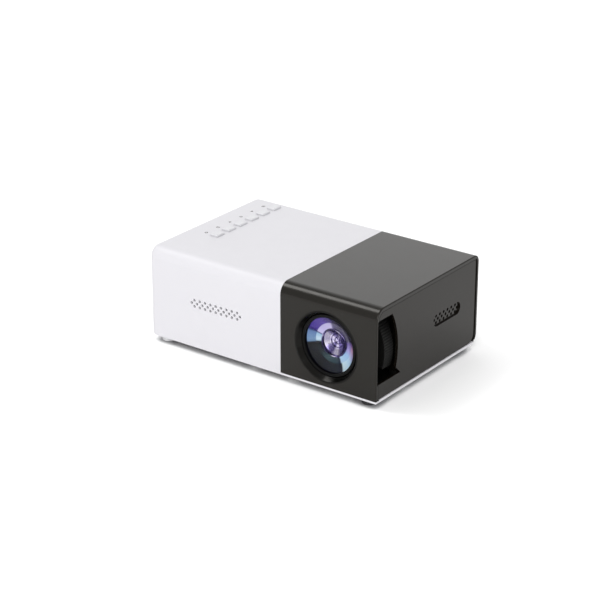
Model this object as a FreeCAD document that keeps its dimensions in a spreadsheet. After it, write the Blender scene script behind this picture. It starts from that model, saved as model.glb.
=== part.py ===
import FreeCAD, Part
import math
import os
import re
import Sketcher
from FreeCAD import Placement, Rotation, Vector

# A small home projector, standing on its feet. Millimetres; +Z is up, the lens looks along -Y, and the dark
# end of the casing is at +X. The origin is on the table, below the middle of the casing.

SIZES = {
    # casing
    "width": 126.0, "depth": 81.0, "foot": 3.0, "crown": 46.5, "wall": 2.0, "back_wall": 3.0,
    "seam": 12.0, "parting": 3.9, "end_parting": 4.1, "floor_top": 5.0,
    "bend_front": 5.5, "bend_back": 3.5, "bend_under": 5.0, "bend_end": 3.0, "edge_break": 0.5,
    "rim": 2.1, "panel_skin": 1.2, "panel_inset": 0.4, "panel_gap": 0.15, "ledge": 1.2,
    "boss_radius": 3.0, "boss_foot": 9.0, "case_thread": 1.1,
    # vents and grilles
    "vent_pitch": 3.06, "vent_row": 1.5, "vent_hole": 0.68, "vent_across": -24.3, "vent_up": 24.7,
    "grille_along": 15.2, "grille_up": 25.6, "grille_half": 11.0, "grille_high": 3.0, "grille_hole": 0.72,
    "grille_pitch": 3.1, "grille_row": 1.6, "grille_deep": 0.8,
    # focus opening in the end panel
    "grip_top": 41.0, "grip_low": 11.2, "grip_shoulder": 14.7, "grip_flare": -21.5,
    "grip_radius": 33.5, "grip_middle_along": -57.2, "grip_middle_up": 24.0, "grip_front": -39.7,
    # lens
    "lens_across": 36.5, "lens_up": 22.6, "bezel_radius": 16.7, "bezel_mouth": 16.0, "bezel_throat": 14.6,
    "barrel_radius": 14.2, "barrel_bore": 13.0, "barrel_nose": 38.4, "barrel_tail": 14.0, "lens_radius": 12.9,
    "front_seat": 13.55, "sleeve_bore": 14.25, "sleeve_radius": 15.3, "sleeve_front": 33.0,
    "ring_bore": 15.38, "ring_hub": 17.4, "ring_radius": 24.3, "ring_front": 31.2, "ring_back": 24.5,
    "sector_from": -18.0, "sector_sweep": 60.0, "pin_place": 27.85, "pin_radius": 1.0, "slot_half": 1.3,
    "lens_lead": 28.0, "turn_down": 26.0, "turn_up": 19.0, "mount_plate": 11.0,
    # light engine
    "light_along": 13.0, "engine_left": -20.0, "engine_right": 54.0, "engine_front": -11.0,
    "engine_back": 37.0, "engine_low": 5.6, "engine_rim": 38.0, "engine_top": 39.6, "engine_wall": 1.6,
    "plate_half": 21.4, "plate_high": 15.0, "comb_depth": 1.8,
    # fan
    "fan_side": 30.0, "fan_front": -38.3, "fan_deep": 8.0, "fan_bore": 14.0, "fan_sweep": 13.4,
    # boards and keys
    "board_low": 8.0, "board_top": 9.6, "board_left": -60.4, "board_right": -40.5, "board_half": 37.0,
    "key_across": -46.3, "key_along": 10.3, "key_pitch": 8.64, "key_wide": 4.2, "key_long": 5.4,
    "key_proud": 0.9, "key_play": 0.15, "key_board_low": 38.5, "key_board_top": 39.7,
}

KEYS = ("power", "source", "left", "ok", "right", "menu")
CASE_BOSSES = {"white": ((-36.9, 31.5), (-5.0, -34.4)), "dark": ((16.0, -34.8), (56.4, -15.5))}
FEET = ((56.0, -35.0), (-56.5, -35.0), (56.0, 30.0), (-56.5, 30.0))
BOARD_POSTS = ((-43.5, -33.5), (-43.5, 0.0), (-43.5, 33.5))
TRIPOD = (5.0, -22.0)
ENGINE_COLUMNS = ((-15.8, -6.8), (16.8, -6.8), (-15.8, 32.8), (49.8, 32.8))
KEY_BOARD_POSTS = (-17.0, 36.4)

# Each socket at the left end: label, its two sides along Y, and its top above the board.
SOCKETS = {
    "power_socket": (27.5, 36.5, 11.0),
    "hdmi_socket": (11.0, 26.0, 5.6),
    "usb_socket": (-4.1, 9.1, 5.8),
    "card_socket": (-20.0, -6.0, 2.0),
    "av_jack": (-28.5, -21.5, 7.0),
    "audio_jack": (-37.0, -30.0, 7.0),
}
SOCKET_FACE = -62.4
SOCKET_BACK = -50.0
SOCKET_PLAY = 0.3

NORMALS = {"X": ("YZ_Plane", 1), "Y": ("XZ_Plane", -1), "Z": ("XY_Plane", 1)}
TURNS = {
    "X": Rotation(Vector(0, 1, 0), 90),
    "Y": Rotation(Vector(1, 0, 0), -90),
    "Z": Rotation(),
}
FORWARD = Rotation(Vector(1, 0, 0), 90)  # turns a piece built along +Z to look along -Y

doc = FreeCAD.newDocument("HomeProjector")
nodes = []


# ---------------------------------------------------------------------------------------------- small helpers

def make_sheet():
    """Put the driving dimensions in the document's spreadsheet."""
    sheet = doc.addObject("Spreadsheet::Sheet", "Size")
    for row, (alias, value) in enumerate(SIZES.items(), 1):
        sheet.set(f"A{row}", str(value))
        sheet.setAlias(f"A{row}", alias)
    doc.recompute()


def bound(formula):
    """A formula in the names of the driving dimensions, as an expression on the spreadsheet."""
    return re.sub(r"[a-z_]+", lambda word: "Size." + word[0] if word[0] in SIZES else word[0], str(formula))


def place(solid, across=0, along=0, up=0, turn=None):
    """Bind a piece's place, and turn it."""
    if turn is not None:
        solid.Placement = Placement(Vector(), turn)
    for axis, formula in zip("xyz", (across, along, up)):
        solid.setExpression(f"Placement.Base.{axis}", bound(formula))
    return solid


def box(label, across, along, up):
    """A block between two bounds on each axis."""
    solid = doc.addObject("Part::Box", label)
    for side, axis, (low, high) in zip(("Length", "Width", "Height"), "xyz", (across, along, up)):
        solid.setExpression(side, f"({bound(high)}) - ({bound(low)})")
        solid.setExpression(f"Placement.Base.{axis}", bound(low))
    return solid


def centred(axis, middle, low):
    """The place of a piece that starts at low on its axis; its other coordinates are in X, Y, Z order."""
    spot = list(middle)
    spot.insert("XYZ".index(axis), low)
    return spot


def rod(label, radius, axis, middle, ends):
    """A cylinder along an axis, between two ends."""
    solid = doc.addObject("Part::Cylinder", label)
    solid.setExpression("Radius", bound(radius))
    solid.setExpression("Height", f"({bound(ends[1])}) - ({bound(ends[0])})")
    return place(solid, *centred(axis, middle, ends[0]), TURNS[axis])


def funnel(label, first, last, axis, middle, ends):
    """A cone along an axis, with its first and last radius."""
    solid = doc.addObject("Part::Cone", label)
    solid.setExpression("Radius1", bound(first))
    solid.setExpression("Radius2", bound(last))
    solid.setExpression("Height", f"({bound(ends[1])}) - ({bound(ends[0])})")
    return place(solid, *centred(axis, middle, ends[0]), TURNS[axis])


def ball(label, radius, across, along, up):
    """A sphere about a point."""
    solid = doc.addObject("Part::Sphere", label)
    solid.setExpression("Radius", bound(radius))
    return place(solid, across, along, up)


def fuse(label, *solids):
    """One solid from several that meet."""
    whole = doc.addObject("Part::MultiFuse", label)
    whole.Shapes = list(solids)
    whole.Refine = True
    return whole


def group(label, *solids):
    """Several separate solids kept together, such as a set of screws."""
    whole = doc.addObject("Part::Compound", label)
    whole.Links = list(solids)
    return whole


def cut(label, base, *tools):
    """A solid with tools taken away."""
    whole = doc.addObject("Part::Cut", label)
    whole.Base = base
    whole.Tool = tools[0] if len(tools) == 1 else fuse(label + "_tools", *tools)
    return whole


def common(label, *solids):
    """What several solids share."""
    whole = doc.addObject("Part::MultiCommon", label)
    whole.Shapes = list(solids)
    return whole


def tube(label, outer, inner, axis, middle, ends):
    """A plain bush or ring."""
    return cut(label, rod(label + "_outside", outer, axis, middle, ends),
               rod(label + "_inside", inner, axis, middle, ends))


def node(solid, label=None):
    """Keep a finished sub-part, under the label that names its file."""
    if label:
        solid.Label = label
    nodes.append(solid)
    return solid


def rectangle(sketch, across, up):
    """A rectangle in a sketch, bound on its four sides."""
    corners = [Vector(0, 0, 0), Vector(1, 0, 0), Vector(1, 1, 0), Vector(0, 1, 0)]
    first = sketch.GeometryCount
    for start, stop in zip(corners, corners[1:] + corners[:1]):
        sketch.addGeometry(Part.LineSegment(start, stop), False)
    for side in range(4):
        sketch.addConstraint(Sketcher.Constraint("Coincident", first + side, 2, first + (side + 1) % 4, 1))
        sketch.addConstraint(Sketcher.Constraint("Vertical" if side % 2 else "Horizontal", first + side))
    for side, formulas in ((0, (across[0], up[0])), (2, (across[1], up[1]))):
        pin_point(sketch, first + side, 1, *formulas)


def pin_point(sketch, line, end, across, up):
    """Bind one end of a sketch line to its place from the sketch's origin."""
    for kind, formula in (("DistanceX", across), ("DistanceY", up)):
        index = sketch.addConstraint(Sketcher.Constraint(kind, -1, 1, line, end, 1.0))
        sketch.setExpression(f"Constraints[{index}]", bound(formula))


def disc(sketch, across, up, radius):
    """A circle in a sketch, bound at its middle and radius."""
    circle = sketch.addGeometry(Part.Circle(Vector(1, 1, 0), Vector(0, 0, 1), 1), False)
    pin_point(sketch, circle, 3, across, up)
    index = sketch.addConstraint(Sketcher.Constraint("Radius", circle, 1.0))
    sketch.setExpression(f"Constraints[{index}]", bound(radius))


def new_sketch(body, axis, start):
    """A sketch across one axis of its body, at a distance from the origin plane."""
    role, sense = NORMALS[axis]
    sketch = body.newObject("Sketcher::SketchObject", body.Name + "_sketch")
    plane = next(feature for feature in body.Origin.OriginFeatures if feature.Role == role)
    sketch.AttachmentSupport = [(plane, "")]
    sketch.MapMode = "FlatFace"
    sketch.setExpression("AttachmentOffset.Base.z", f"{sense} * ({bound(start)})")
    return sketch


def extrude(body, kind, axis, ends, *outlines):
    """A Pad or Pocket from ends[0] to ends[1] along an axis.

    An outline is a pair of spans for a rectangle, a centre and radius for a circle, or a drawing function.
    """
    sketch = new_sketch(body, axis, ends[0])
    for outline in outlines:
        if callable(outline):
            outline(sketch)
        elif len(outline) == 2:
            rectangle(sketch, *outline)
        else:
            disc(sketch, *outline)
    made = body.newObject("PartDesign::" + kind, f"{body.Name}_{kind.lower()}")
    made.Profile = sketch
    made.setExpression("Length", f"({bound(ends[1])}) - ({bound(ends[0])})")
    along_normal = NORMALS[axis][1] > 0
    made.Reversed = along_normal if kind == "Pocket" else not along_normal
    return made


def repeat(body, feature, axis, reach, count):
    """Repeat a feature in a straight row along one of the body's axes."""
    row = body.newObject("PartDesign::LinearPattern", body.Name + "_row")
    row.Originals = [feature]
    line = next(part for part in body.Origin.OriginFeatures if part.Role == axis + "_Axis")
    row.Direction = (line, [""])
    row.setExpression("Length", bound(reach))
    row.Occurrences = count
    body.Tip = row


def round_edges(body, radius, chosen):
    """Fillet the edges of the body so far that a test picks."""
    doc.recompute()
    names = [f"Edge{number}" for number, edge in enumerate(body.Shape.Edges, 1) if chosen(edge.BoundBox)]
    rounded = body.Tip
    made = body.newObject("PartDesign::Fillet", body.Name + "_fillet")
    made.Base = (rounded, names)
    made.setExpression("Radius", bound(radius))
    return made


def near(value, target):
    """Whether two lengths are the same to a hundredth."""
    return abs(value - target) < 0.01


def along_x(bounds, along, up):
    """Whether an edge runs along X at a given place in Y and Z."""
    straight = near(bounds.YLength, 0) and near(bounds.ZLength, 0)
    return straight and near(bounds.YMin, along) and near(bounds.ZMin, up)


# ------------------------------------------------------------------------------------------------- the casing

def casing_block(label, left, right):
    """A length of the casing's outer form, with its long edges rounded."""
    body = doc.addObject("PartDesign::Body", label)
    extrude(body, "Pad", "X", (left, right), (("-depth/2", "depth/2"), ("foot", "crown")))
    half, foot, crown = SIZES["depth"] / 2, SIZES["foot"], SIZES["crown"]
    round_edges(body, "bend_front", lambda edge: along_x(edge, -half, crown))
    round_edges(body, "bend_back", lambda edge: along_x(edge, half, crown))
    round_edges(body, "bend_under", lambda edge: along_x(edge, half, foot))
    return body


def round_left_end(body):
    """Round the loop of edges about the casing's left end, apart from the one on its underside."""
    left, foot = -SIZES["width"] / 2, SIZES["foot"]
    round_edges(body, "bend_end", lambda edge: near(edge.XMax, left) and not (
        near(edge.ZMin, foot) and near(edge.ZMax, foot)))


def case_bosses(body, side):
    """Screw bosses that hang from a cover's roof, with their pilot holes."""
    places = CASE_BOSSES[side]
    extrude(body, "Pad", "Z", ("boss_foot", "crown - wall/2"), *[(x, y, "boss_radius") for x, y in places])
    extrude(body, "Pocket", "Z", ("boss_foot - 1", "boss_foot + 10"),
            *[(x, y, "case_thread + 0.05") for x, y in places])


def base_shell():
    """The tray that everything stands in."""
    body = casing_block("base_shell", "-width/2", "width/2")
    round_left_end(body)
    extrude(body, "Pocket", "X", ("-width/2 - 1", "width/2 - rim"),
            (("-depth/2 - 1", "depth/2 + 1"), ("parting", "crown + 1")))
    extrude(body, "Pocket", "X", ("width/2 - rim - 1", "width/2 + 1"),
            (("-depth/2 - 1", "depth/2 + 1"), ("end_parting", "crown + 1")))
    for sense in (-1, 1):
        edge = sorted((sense * 38.0, sense * 42.0))
        extrude(body, "Pocket", "X", ("width/2 - rim - 1", "width/2 + 1"),
                (edge, ("parting", "end_parting + 1")))
    extrude(body, "Pad", "Z", ("parting - 0.5", "floor_top"),
            (("-width/2 + wall + 0.1", "width/2 - rim - ledge - 0.1"),
             ("-depth/2 + wall + 0.1", "depth/2 - back_wall - 0.1")))
    posts = [(x, y, "boss_radius + 0.2") for side in CASE_BOSSES.values() for x, y in side]
    extrude(body, "Pad", "Z", ("floor_top - 0.5", "boss_foot"), *posts)
    extrude(body, "Pad", "Z", ("floor_top - 0.5", 11), (*TRIPOD, 6.5))
    extrude(body, "Pad", "Z", ("floor_top - 0.5", "board_low"), *[(x, y, 2.2) for x, y in BOARD_POSTS])
    extrude(body, "Pad", "Z", ("floor_top - 0.5", "engine_low"),
            *[(x, y, 2.6) for x, y in ENGINE_COLUMNS])
    extrude(body, "Pad", "Z", ("floor_top - 0.5", 7), *[((-34, -22), (y, y + 2)) for y in (1, 22)])
    screws = [(x, y) for side in CASE_BOSSES.values() for x, y in side]
    extrude(body, "Pocket", "Z", ("foot - 1", "foot + 4"), *[(x, y, 2.4) for x, y in screws])
    extrude(body, "Pocket", "Z", ("foot - 1", "boss_foot + 1"),
            *[(x, y, "case_thread + 0.2") for x, y in screws])
    extrude(body, "Pocket", "Z", ("foot - 1", 10), (*TRIPOD, 4.5))
    extrude(body, "Pocket", "Z", (5.5, "board_low + 1"), *[(x, y, 1.15) for x, y in BOARD_POSTS])
    slot = extrude(body, "Pocket", "Z", ("foot - 1", "floor_top + 1"), ((-33, -31.2), (-25, -12)))
    repeat(body, slot, "X", 18.0, 6)
    return node(body)


def white_cover():
    """The light cover over the left of the casing, with the air intake, ports, keys and outlet."""
    body = casing_block("white_cover", "-width/2", "seam")
    round_left_end(body)
    extrude(body, "Pocket", "X", ("-width/2 - 1", "seam + 1"),
            (("-depth/2 - 1", "depth/2 + 1"), ("foot - 1", "parting")))
    extrude(body, "Pocket", "X", ("-width/2 + wall", "seam + 1"),
            (("-depth/2 + wall", "depth/2 - back_wall"), ("foot - 1", "crown - wall")))
    case_bosses(body, "white")
    for row, count in ((1, 9), (0, 10), (-1, 9)):
        first = f"vent_across - vent_pitch * {(count - 1) / 2}"
        hole = extrude(body, "Pocket", "Y", ("-depth/2 - 1", "-depth/2 + wall + 1"),
                       (first, f"vent_up + vent_row * {row}", "vent_hole"))
        repeat(body, hole, "X", f"vent_pitch * {count - 1}", count)
    outlet = extrude(body, "Pocket", "Y", ("depth/2 - back_wall - 1", "depth/2 + 1"),
                     ((-41, -39.4), (16, 34)))
    repeat(body, outlet, "X", 25.6, 9)
    windows = []
    for low, high, tall in SOCKETS.values():
        up = (f"board_top - {SOCKET_PLAY}", f"board_top + {tall + SOCKET_PLAY}")
        windows.append(((low - SOCKET_PLAY, high + SOCKET_PLAY), up))
    extrude(body, "Pocket", "X", ("-width/2 - 1", "-width/2 + wall + 1"), *windows)
    window = extrude(body, "Pocket", "Z", ("crown - wall - 1", "crown + 1"),
                     (("key_across - key_wide/2 - key_play", "key_across + key_wide/2 + key_play"),
                      ("key_along - 2.5*key_pitch - key_long/2 - key_play",
                       "key_along - 2.5*key_pitch + key_long/2 + key_play")))
    repeat(body, window, "Y", "5 * key_pitch", 6)
    extrude(body, "Pad", "Z", ("key_board_top", "crown - wall/2"),
            *[("key_across", y, 1.2) for y in KEY_BOARD_POSTS])
    extrude(body, "Pocket", "Z", ("key_board_top - 1", "key_board_top + 3"),
            *[("key_across", y, 0.65) for y in KEY_BOARD_POSTS])
    fan_holes = [(f"vent_across + {side}", f"vent_up + {rise}", 1.1)
                 for side in (-12, 12) for rise in (-12, 12)]
    extrude(body, "Pocket", "Y", ("-depth/2 + 0.7", "-depth/2 + wall + 1"), *fan_holes)
    return node(body)


def panel_seat(body, sunk, grow):
    """A step in the right end for the panel; its top corners share their centres with the rim's."""
    ends = (f"width/2 - ({sunk})", "width/2 + 1")
    front, back = f"(-depth/2 + rim - {grow})", f"(depth/2 - rim + {grow})"
    top = f"(crown - rim + {grow})"
    front_bend, back_bend = f"(bend_front - rim + {grow})", f"(bend_back - rim + {grow})"
    extrude(body, "Pocket", "X", ends, ((front, back), ("end_parting", f"{top} - {front_bend}")))
    extrude(body, "Pocket", "X", ends,
            ((f"{front} + {front_bend}", back), ("end_parting", f"{top} - {back_bend}")))
    extrude(body, "Pocket", "X", ends,
            ((f"{front} + {front_bend}", f"{back} - {back_bend}"), ("end_parting", top)))
    extrude(body, "Pocket", "X", ends, (f"{front} + {front_bend}", f"{top} - {front_bend}", front_bend))
    extrude(body, "Pocket", "X", ends, (f"{back} - {back_bend}", f"{top} - {back_bend}", back_bend))


def dark_cover():
    """The dark sleeve over the right of the casing, with the lens opening and the seat of the end panel."""
    body = casing_block("dark_cover", "seam", "width/2")
    right = SIZES["width"] / 2
    round_edges(body, "edge_break", lambda edge: near(edge.XMin, right) and edge.ZMax > SIZES["foot"] + 1)
    extrude(body, "Pocket", "X", ("seam - 1", "width/2 + 1"),
            (("-depth/2 - 1", "depth/2 + 1"), ("foot - 1", "parting")))
    extrude(body, "Pocket", "X", ("width/2 - rim", "width/2 + 1"), ((-38, 38), ("foot - 1", "end_parting")))
    extrude(body, "Pocket", "X", ("seam - 1", "width/2 - rim - ledge"),
            (("-depth/2 + wall", "depth/2 - back_wall"), ("foot - 1", "crown - wall")))
    extrude(body, "Pocket", "X", ("width/2 - rim - ledge - 1", "width/2 + 1"),
            (("-depth/2 + rim + ledge", "depth/2 - back_wall - ledge"),
             ("end_parting + ledge", "crown - rim - ledge")))
    panel_seat(body, "panel_inset", 0.7)
    panel_seat(body, "panel_inset + panel_skin", 0.0)
    extrude(body, "Pocket", "X", ("width/2 - rim - ledge - 2", "width/2 + 1"),
            (("grip_front", -36), ("grip_low", "grip_top")))
    extrude(body, "Pocket", "Y", ("-depth/2 - 1", "-depth/2 + wall + 1"),
            ("lens_across", "lens_up", "bezel_radius + 0.05"))
    case_bosses(body, "dark")
    return node(body)


def grip_outline(sketch):
    """The focus opening: a notch whose back edge is a long arc that flares at its foot."""
    spots = ((-41, 41), (-28, 41), (-25, 15), (-21, 11), (-41, 11))
    corners = [Vector(along, up, 0) for along, up in spots]
    top, _, flare, foot, front = range(5)
    sketch.addGeometry(Part.LineSegment(corners[0], corners[1]), False)
    middle = Vector(SIZES["grip_middle_along"], SIZES["grip_middle_up"], 0)
    start = math.asin((SIZES["grip_shoulder"] - SIZES["grip_middle_up"]) / SIZES["grip_radius"])
    stop = math.asin((SIZES["grip_top"] - SIZES["grip_middle_up"]) / SIZES["grip_radius"])
    circle = Part.Circle(middle, Vector(0, 0, 1), SIZES["grip_radius"])
    arc = sketch.addGeometry(Part.ArcOfCircle(circle, start, stop), False)
    for first, last in ((2, 3), (3, 4), (4, 0)):
        sketch.addGeometry(Part.LineSegment(corners[first], corners[last]), False)
    meetings = ((top, 2, arc, 2), (arc, 1, flare, 1), (flare, 2, foot, 1), (foot, 2, front, 1),
                (front, 2, top, 1))
    for joined in meetings:
        sketch.addConstraint(Sketcher.Constraint("Coincident", *joined))
    pin_point(sketch, top, 1, "grip_front - 1.3", "grip_top")
    pin_point(sketch, arc, 3, "grip_middle_along", "grip_middle_up")
    pin_point(sketch, foot, 1, "grip_flare", "grip_low")
    sketch.addConstraint(Sketcher.Constraint("Horizontal", top))
    sketch.addConstraint(Sketcher.Constraint("Horizontal", foot))
    sketch.addConstraint(Sketcher.Constraint("Vertical", front))
    radius = sketch.addConstraint(Sketcher.Constraint("Radius", arc, 1.0))
    sketch.setExpression(f"Constraints[{radius}]", bound("grip_radius"))
    shoulder = sketch.addConstraint(Sketcher.Constraint("DistanceY", -1, 1, flare, 1, 1.0))
    sketch.setExpression(f"Constraints[{shoulder}]", bound("grip_shoulder"))


def end_panel():
    """The glossy plate in the right end, with the focus opening and the grille over the speaker."""
    body = doc.addObject("PartDesign::Body", "end_panel")
    outside = "width/2 - panel_inset"
    inside = "width/2 - panel_inset - panel_skin"
    edge = SIZES["depth"] / 2 - SIZES["rim"] - SIZES["panel_gap"]
    top = SIZES["crown"] - SIZES["rim"] - SIZES["panel_gap"]
    low = SIZES["end_parting"] + SIZES["panel_gap"]
    extrude(body, "Pad", "X", (inside, outside),
            (("-depth/2 + rim + panel_gap", "depth/2 - rim - panel_gap"),
             ("end_parting + panel_gap", "crown - rim - panel_gap")))
    round_edges(body, "bend_front - rim", lambda line: along_x(line, -edge, top))
    round_edges(body, "bend_back - rim", lambda line: along_x(line, edge, top))
    round_edges(body, "bend_under - 1", lambda line: along_x(line, edge, low))
    tray = (f"{inside} - 0.9", f"{inside} + 0.1")
    half, high = "(grille_half - grille_high)", "grille_high"
    back = (f"grille_along - {half}", f"grille_along + {half}")
    recess = (f"{outside} - grille_deep", f"{outside} + 1")
    for kind, ends, grow in (("Pad", tray, 0.8), ("Pocket", recess, 0)):
        up = (f"grille_up - {high} - {grow}", f"grille_up + {high} + {grow}")
        extrude(body, kind, "X", ends, (back, up))
        for end in back:
            extrude(body, kind, "X", ends, (end, "grille_up", f"{high} + {grow}"))
    for row, count in ((1, 6), (0, 7), (-1, 6)):
        first = f"grille_along - grille_pitch * {(count - 1) / 2}"
        hole = extrude(body, "Pocket", "X", (f"{inside} - 2", f"{outside} + 1"),
                       (first, f"grille_up + grille_row * {row}", "grille_hole"))
        repeat(body, hole, "Y", f"grille_pitch * {count - 1}", count)
    extrude(body, "Pocket", "X", (f"{inside} - 2", f"{outside} + 1"), grip_outline)
    return node(body)


def lens_bezel():
    """The round surround of the lens, let into the dark cover from behind."""
    middle = ("lens_across", "lens_up")
    front = "-depth/2"
    plug = rod("bezel_plug", "bezel_radius", "Y", middle, (front, f"{front} + wall"))
    behind = (f"{front} + wall", f"{front} + wall + 1.2")
    flange = rod("bezel_flange", "bezel_radius + 0.7", "Y", middle, behind)
    throat = rod("bezel_bore", "bezel_throat", "Y", middle, (f"{front} - 1", f"{front} + 5"))
    mouth = funnel("bezel_cone", "bezel_mouth", "bezel_throat", "Y", middle, (front, f"{front} + 2.2"))
    return node(cut("lens_bezel", fuse("bezel_blank", plug, flange), throat, mouth))


def screw(label, axis, middle, tip, seat, head_end, shank, head):
    """A plain screw: its shank from tip to seat, and its head from seat on."""
    ends = sorted((tip, seat)), sorted((seat, head_end))
    return fuse(label, rod(label + "_shank", shank, axis, middle, ends[0]),
                rod(label + "_head", head, axis, middle, ends[1]))


def fittings():
    """Feet, tripod insert and case screws."""
    node(group("rubber_feet", *[rod("foot_pad", 3.4, "Z", spot, (0, "foot")) for spot in FEET]))
    node(tube("tripod_insert", 4.5, 2.55, "Z", TRIPOD, ("foot", 10)))
    spots = [spot for side in CASE_BOSSES.values() for spot in side]
    node(group("case_screws", *[screw("case_screw", "Z", spot, 17.0, 7.0, 5.2, 1.1, 2.2) for spot in spots]))


# --------------------------------------------------------------------------------------------------- the lens

def lens_tube(label, outer, inner, front, back):
    """A ring about the lens axis, with its distances measured forward from the middle of the casing."""
    return tube(label, outer, inner, "Y", ("lens_across", "lens_up"), (f"-({front})", f"-({back})"))


def lens_rod(label, radius, front, back):
    """A disc about the lens axis."""
    return rod(label, radius, "Y", ("lens_across", "lens_up"), (f"-({front})", f"-({back})"))


def radial_rods(label, radius, reach, place_along, angles):
    """Rods that stand out from the lens axis at given angles."""
    rods = []
    for angle in angles:
        pin = doc.addObject("Part::Cylinder", label)
        pin.setExpression("Radius", bound(radius))
        pin.setExpression("Height", f"({bound(reach[1])}) - ({bound(reach[0])})")
        way = Vector(math.cos(math.radians(angle)), 0, math.sin(math.radians(angle)))
        pin.Placement = Placement(Vector(), Rotation(Vector(0, 0, 1), way))
        place(pin, f"lens_across + ({reach[0]}) * {way.x:.6f}", f"-({place_along})",
              f"lens_up + ({reach[0]}) * {way.z:.6f}")
        rods.append(pin)
    return rods


PIN_ANGLES = (90, 210, 330)
SLOT_MARGIN = 4.0  # degrees that each helical slot runs on past the ring's travel


def lens_mount():
    """The fixed sleeve that guides the barrel, with three straight slots and a plate bolted to the engine."""
    sleeve = lens_rod("mount_sleeve", "sleeve_radius", "sleeve_front", "mount_plate")
    shoulder = lens_rod("mount_shoulder", "sleeve_radius + 1.1", "ring_back - 0.2", "mount_plate")
    plate = box("mount_plate", ("lens_across - 17.4", "lens_across + 17.4"),
                ("-mount_plate - 1.6", "-mount_plate"),
                ("lens_up - 16.8", "lens_up + 16.8"))
    bore = lens_rod("mount_bore", "sleeve_bore", "sleeve_front + 1", "mount_plate - 1")
    groove = lens_tube("mount_groove", "sleeve_radius + 0.1", "sleeve_radius - 0.4", 32.2, 31.5)
    slots = []
    for place_along in ("pin_place - 2.15", "pin_place", "pin_place + 1", "pin_place + 2.3"):
        slots += radial_rods("mount_slot", "pin_radius + 0.06", (10, 20), place_along, PIN_ANGLES)
    for angle in PIN_ANGLES:
        slab = box("slot_slab", (10, 20), ("-pin_place - 2.3", "-pin_place + 2.15"),
                   ("-pin_radius - 0.06", "pin_radius + 0.06"))
        slots.append(about_lens(group("slot_turned", slab), angle))
    holes = [rod("plate_hole", 1.15, "Y", spot, (-14, -10)) for spot in mount_corners()]
    return node(cut("lens_mount", fuse("mount_blank", sleeve, shoulder, plate), bore, groove, *slots, *holes))


def about_lens(solid, angle):
    """Turn a piece built about the Y axis to an angle about the lens axis."""
    return place(solid, "lens_across", 0, "lens_up", Rotation(Vector(0, -1, 0), angle))


def mount_corners():
    """The four screws of the lens plate."""
    return [(f"lens_across + {side}", f"lens_up + {rise}")
            for side in (-15.2, 15.2) for rise in (-14.0, 14.0)]


def helical_slot():
    """A swept slot in the ring's own frame, which drives a guide pin along the lens as the ring turns."""
    helix = doc.addObject("Part::Helix", "slot_path")
    helix.LocalCoord = 1
    helix.setExpression("Pitch", bound("lens_lead"))
    helix.setExpression("Height", bound(f"lens_lead * (turn_up + turn_down + {2 * SLOT_MARGIN}) / 360"))
    helix.setExpression("Radius", bound("ring_hub"))
    section = doc.addObject("Part::Plane", "slot_section")
    section.setExpression("Length", "6")
    section.setExpression("Width", bound("2 * slot_half"))
    section.Placement = Placement(Vector(), Rotation(Vector(1, 0, 0), 90))
    place(section, "ring_hub - 4", 0, "-slot_half")
    swept = doc.addObject("Part::Sweep", "slot_sweep")
    swept.Sections = [section]
    swept.Spine = (helix, ["Edge1"])
    swept.Solid = True
    swept.Frenet = True
    return swept


def focus_ring():
    """The ring that a thumb turns, with a raised sector, a milled rim and three helical slots."""
    height = "ring_front - ring_back"
    hub = tube("ring_body", "ring_hub", "ring_bore", "Z", (0, 0), (0, height))
    wedge = rod("ring_wedge", "ring_radius", "Z", (0, 0), (0, height))
    wedge.setExpression("Angle", bound("sector_sweep"))
    wedge.Placement = Placement(Vector(), Rotation(Vector(0, 0, 1), SIZES["sector_from"]))
    sector = cut("ring_sector", wedge, rod("ring_clear", "ring_hub - 1", "Z", (0, 0), (-1, f"{height} + 1")))
    grooves = []
    for step in range(1, 20):
        angle = math.radians(SIZES["sector_from"] + step * SIZES["sector_sweep"] / 20)
        spot = [f"(ring_radius + 0.25) * {share:.6f}" for share in (math.cos(angle), math.sin(angle))]
        grooves.append(rod("rim_groove", 0.5, "Z", spot, (-1, f"{height} + 1")))
    slots = []
    for angle in PIN_ANGLES:
        swept = helical_slot()
        start = angle + SIZES["turn_down"] + SLOT_MARGIN
        swept.Placement = Placement(Vector(), Rotation(Vector(0, 0, 1), start))
        place(swept, 0, 0, f"pin_place - ring_back - lens_lead * (turn_down + {SLOT_MARGIN}) / 360")
        slots.append(swept)
    ring = cut("focus_ring", fuse("ring_blank", hub, sector), *grooves, *slots)
    return node(place(ring, "lens_across", "-ring_back", "lens_up", FORWARD))


def lens_blank(label, radius, front, back, front_curve, back_curve):
    """A glass lens: a disc cut by a large sphere at each face; a curve of 0 leaves the face flat."""
    disc_blank = lens_rod(label + "_disc", radius, front, back)
    shapes = [disc_blank]
    if front_curve:
        middle = f"-({front}) + {front_curve}"
        shapes.append(ball(label + "_front", front_curve, "lens_across", middle, "lens_up"))
    if back_curve:
        middle = f"-({back}) - {back_curve}"
        shapes.append(ball(label + "_back", back_curve, "lens_across", middle, "lens_up"))
    return common(label, *shapes)


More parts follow.
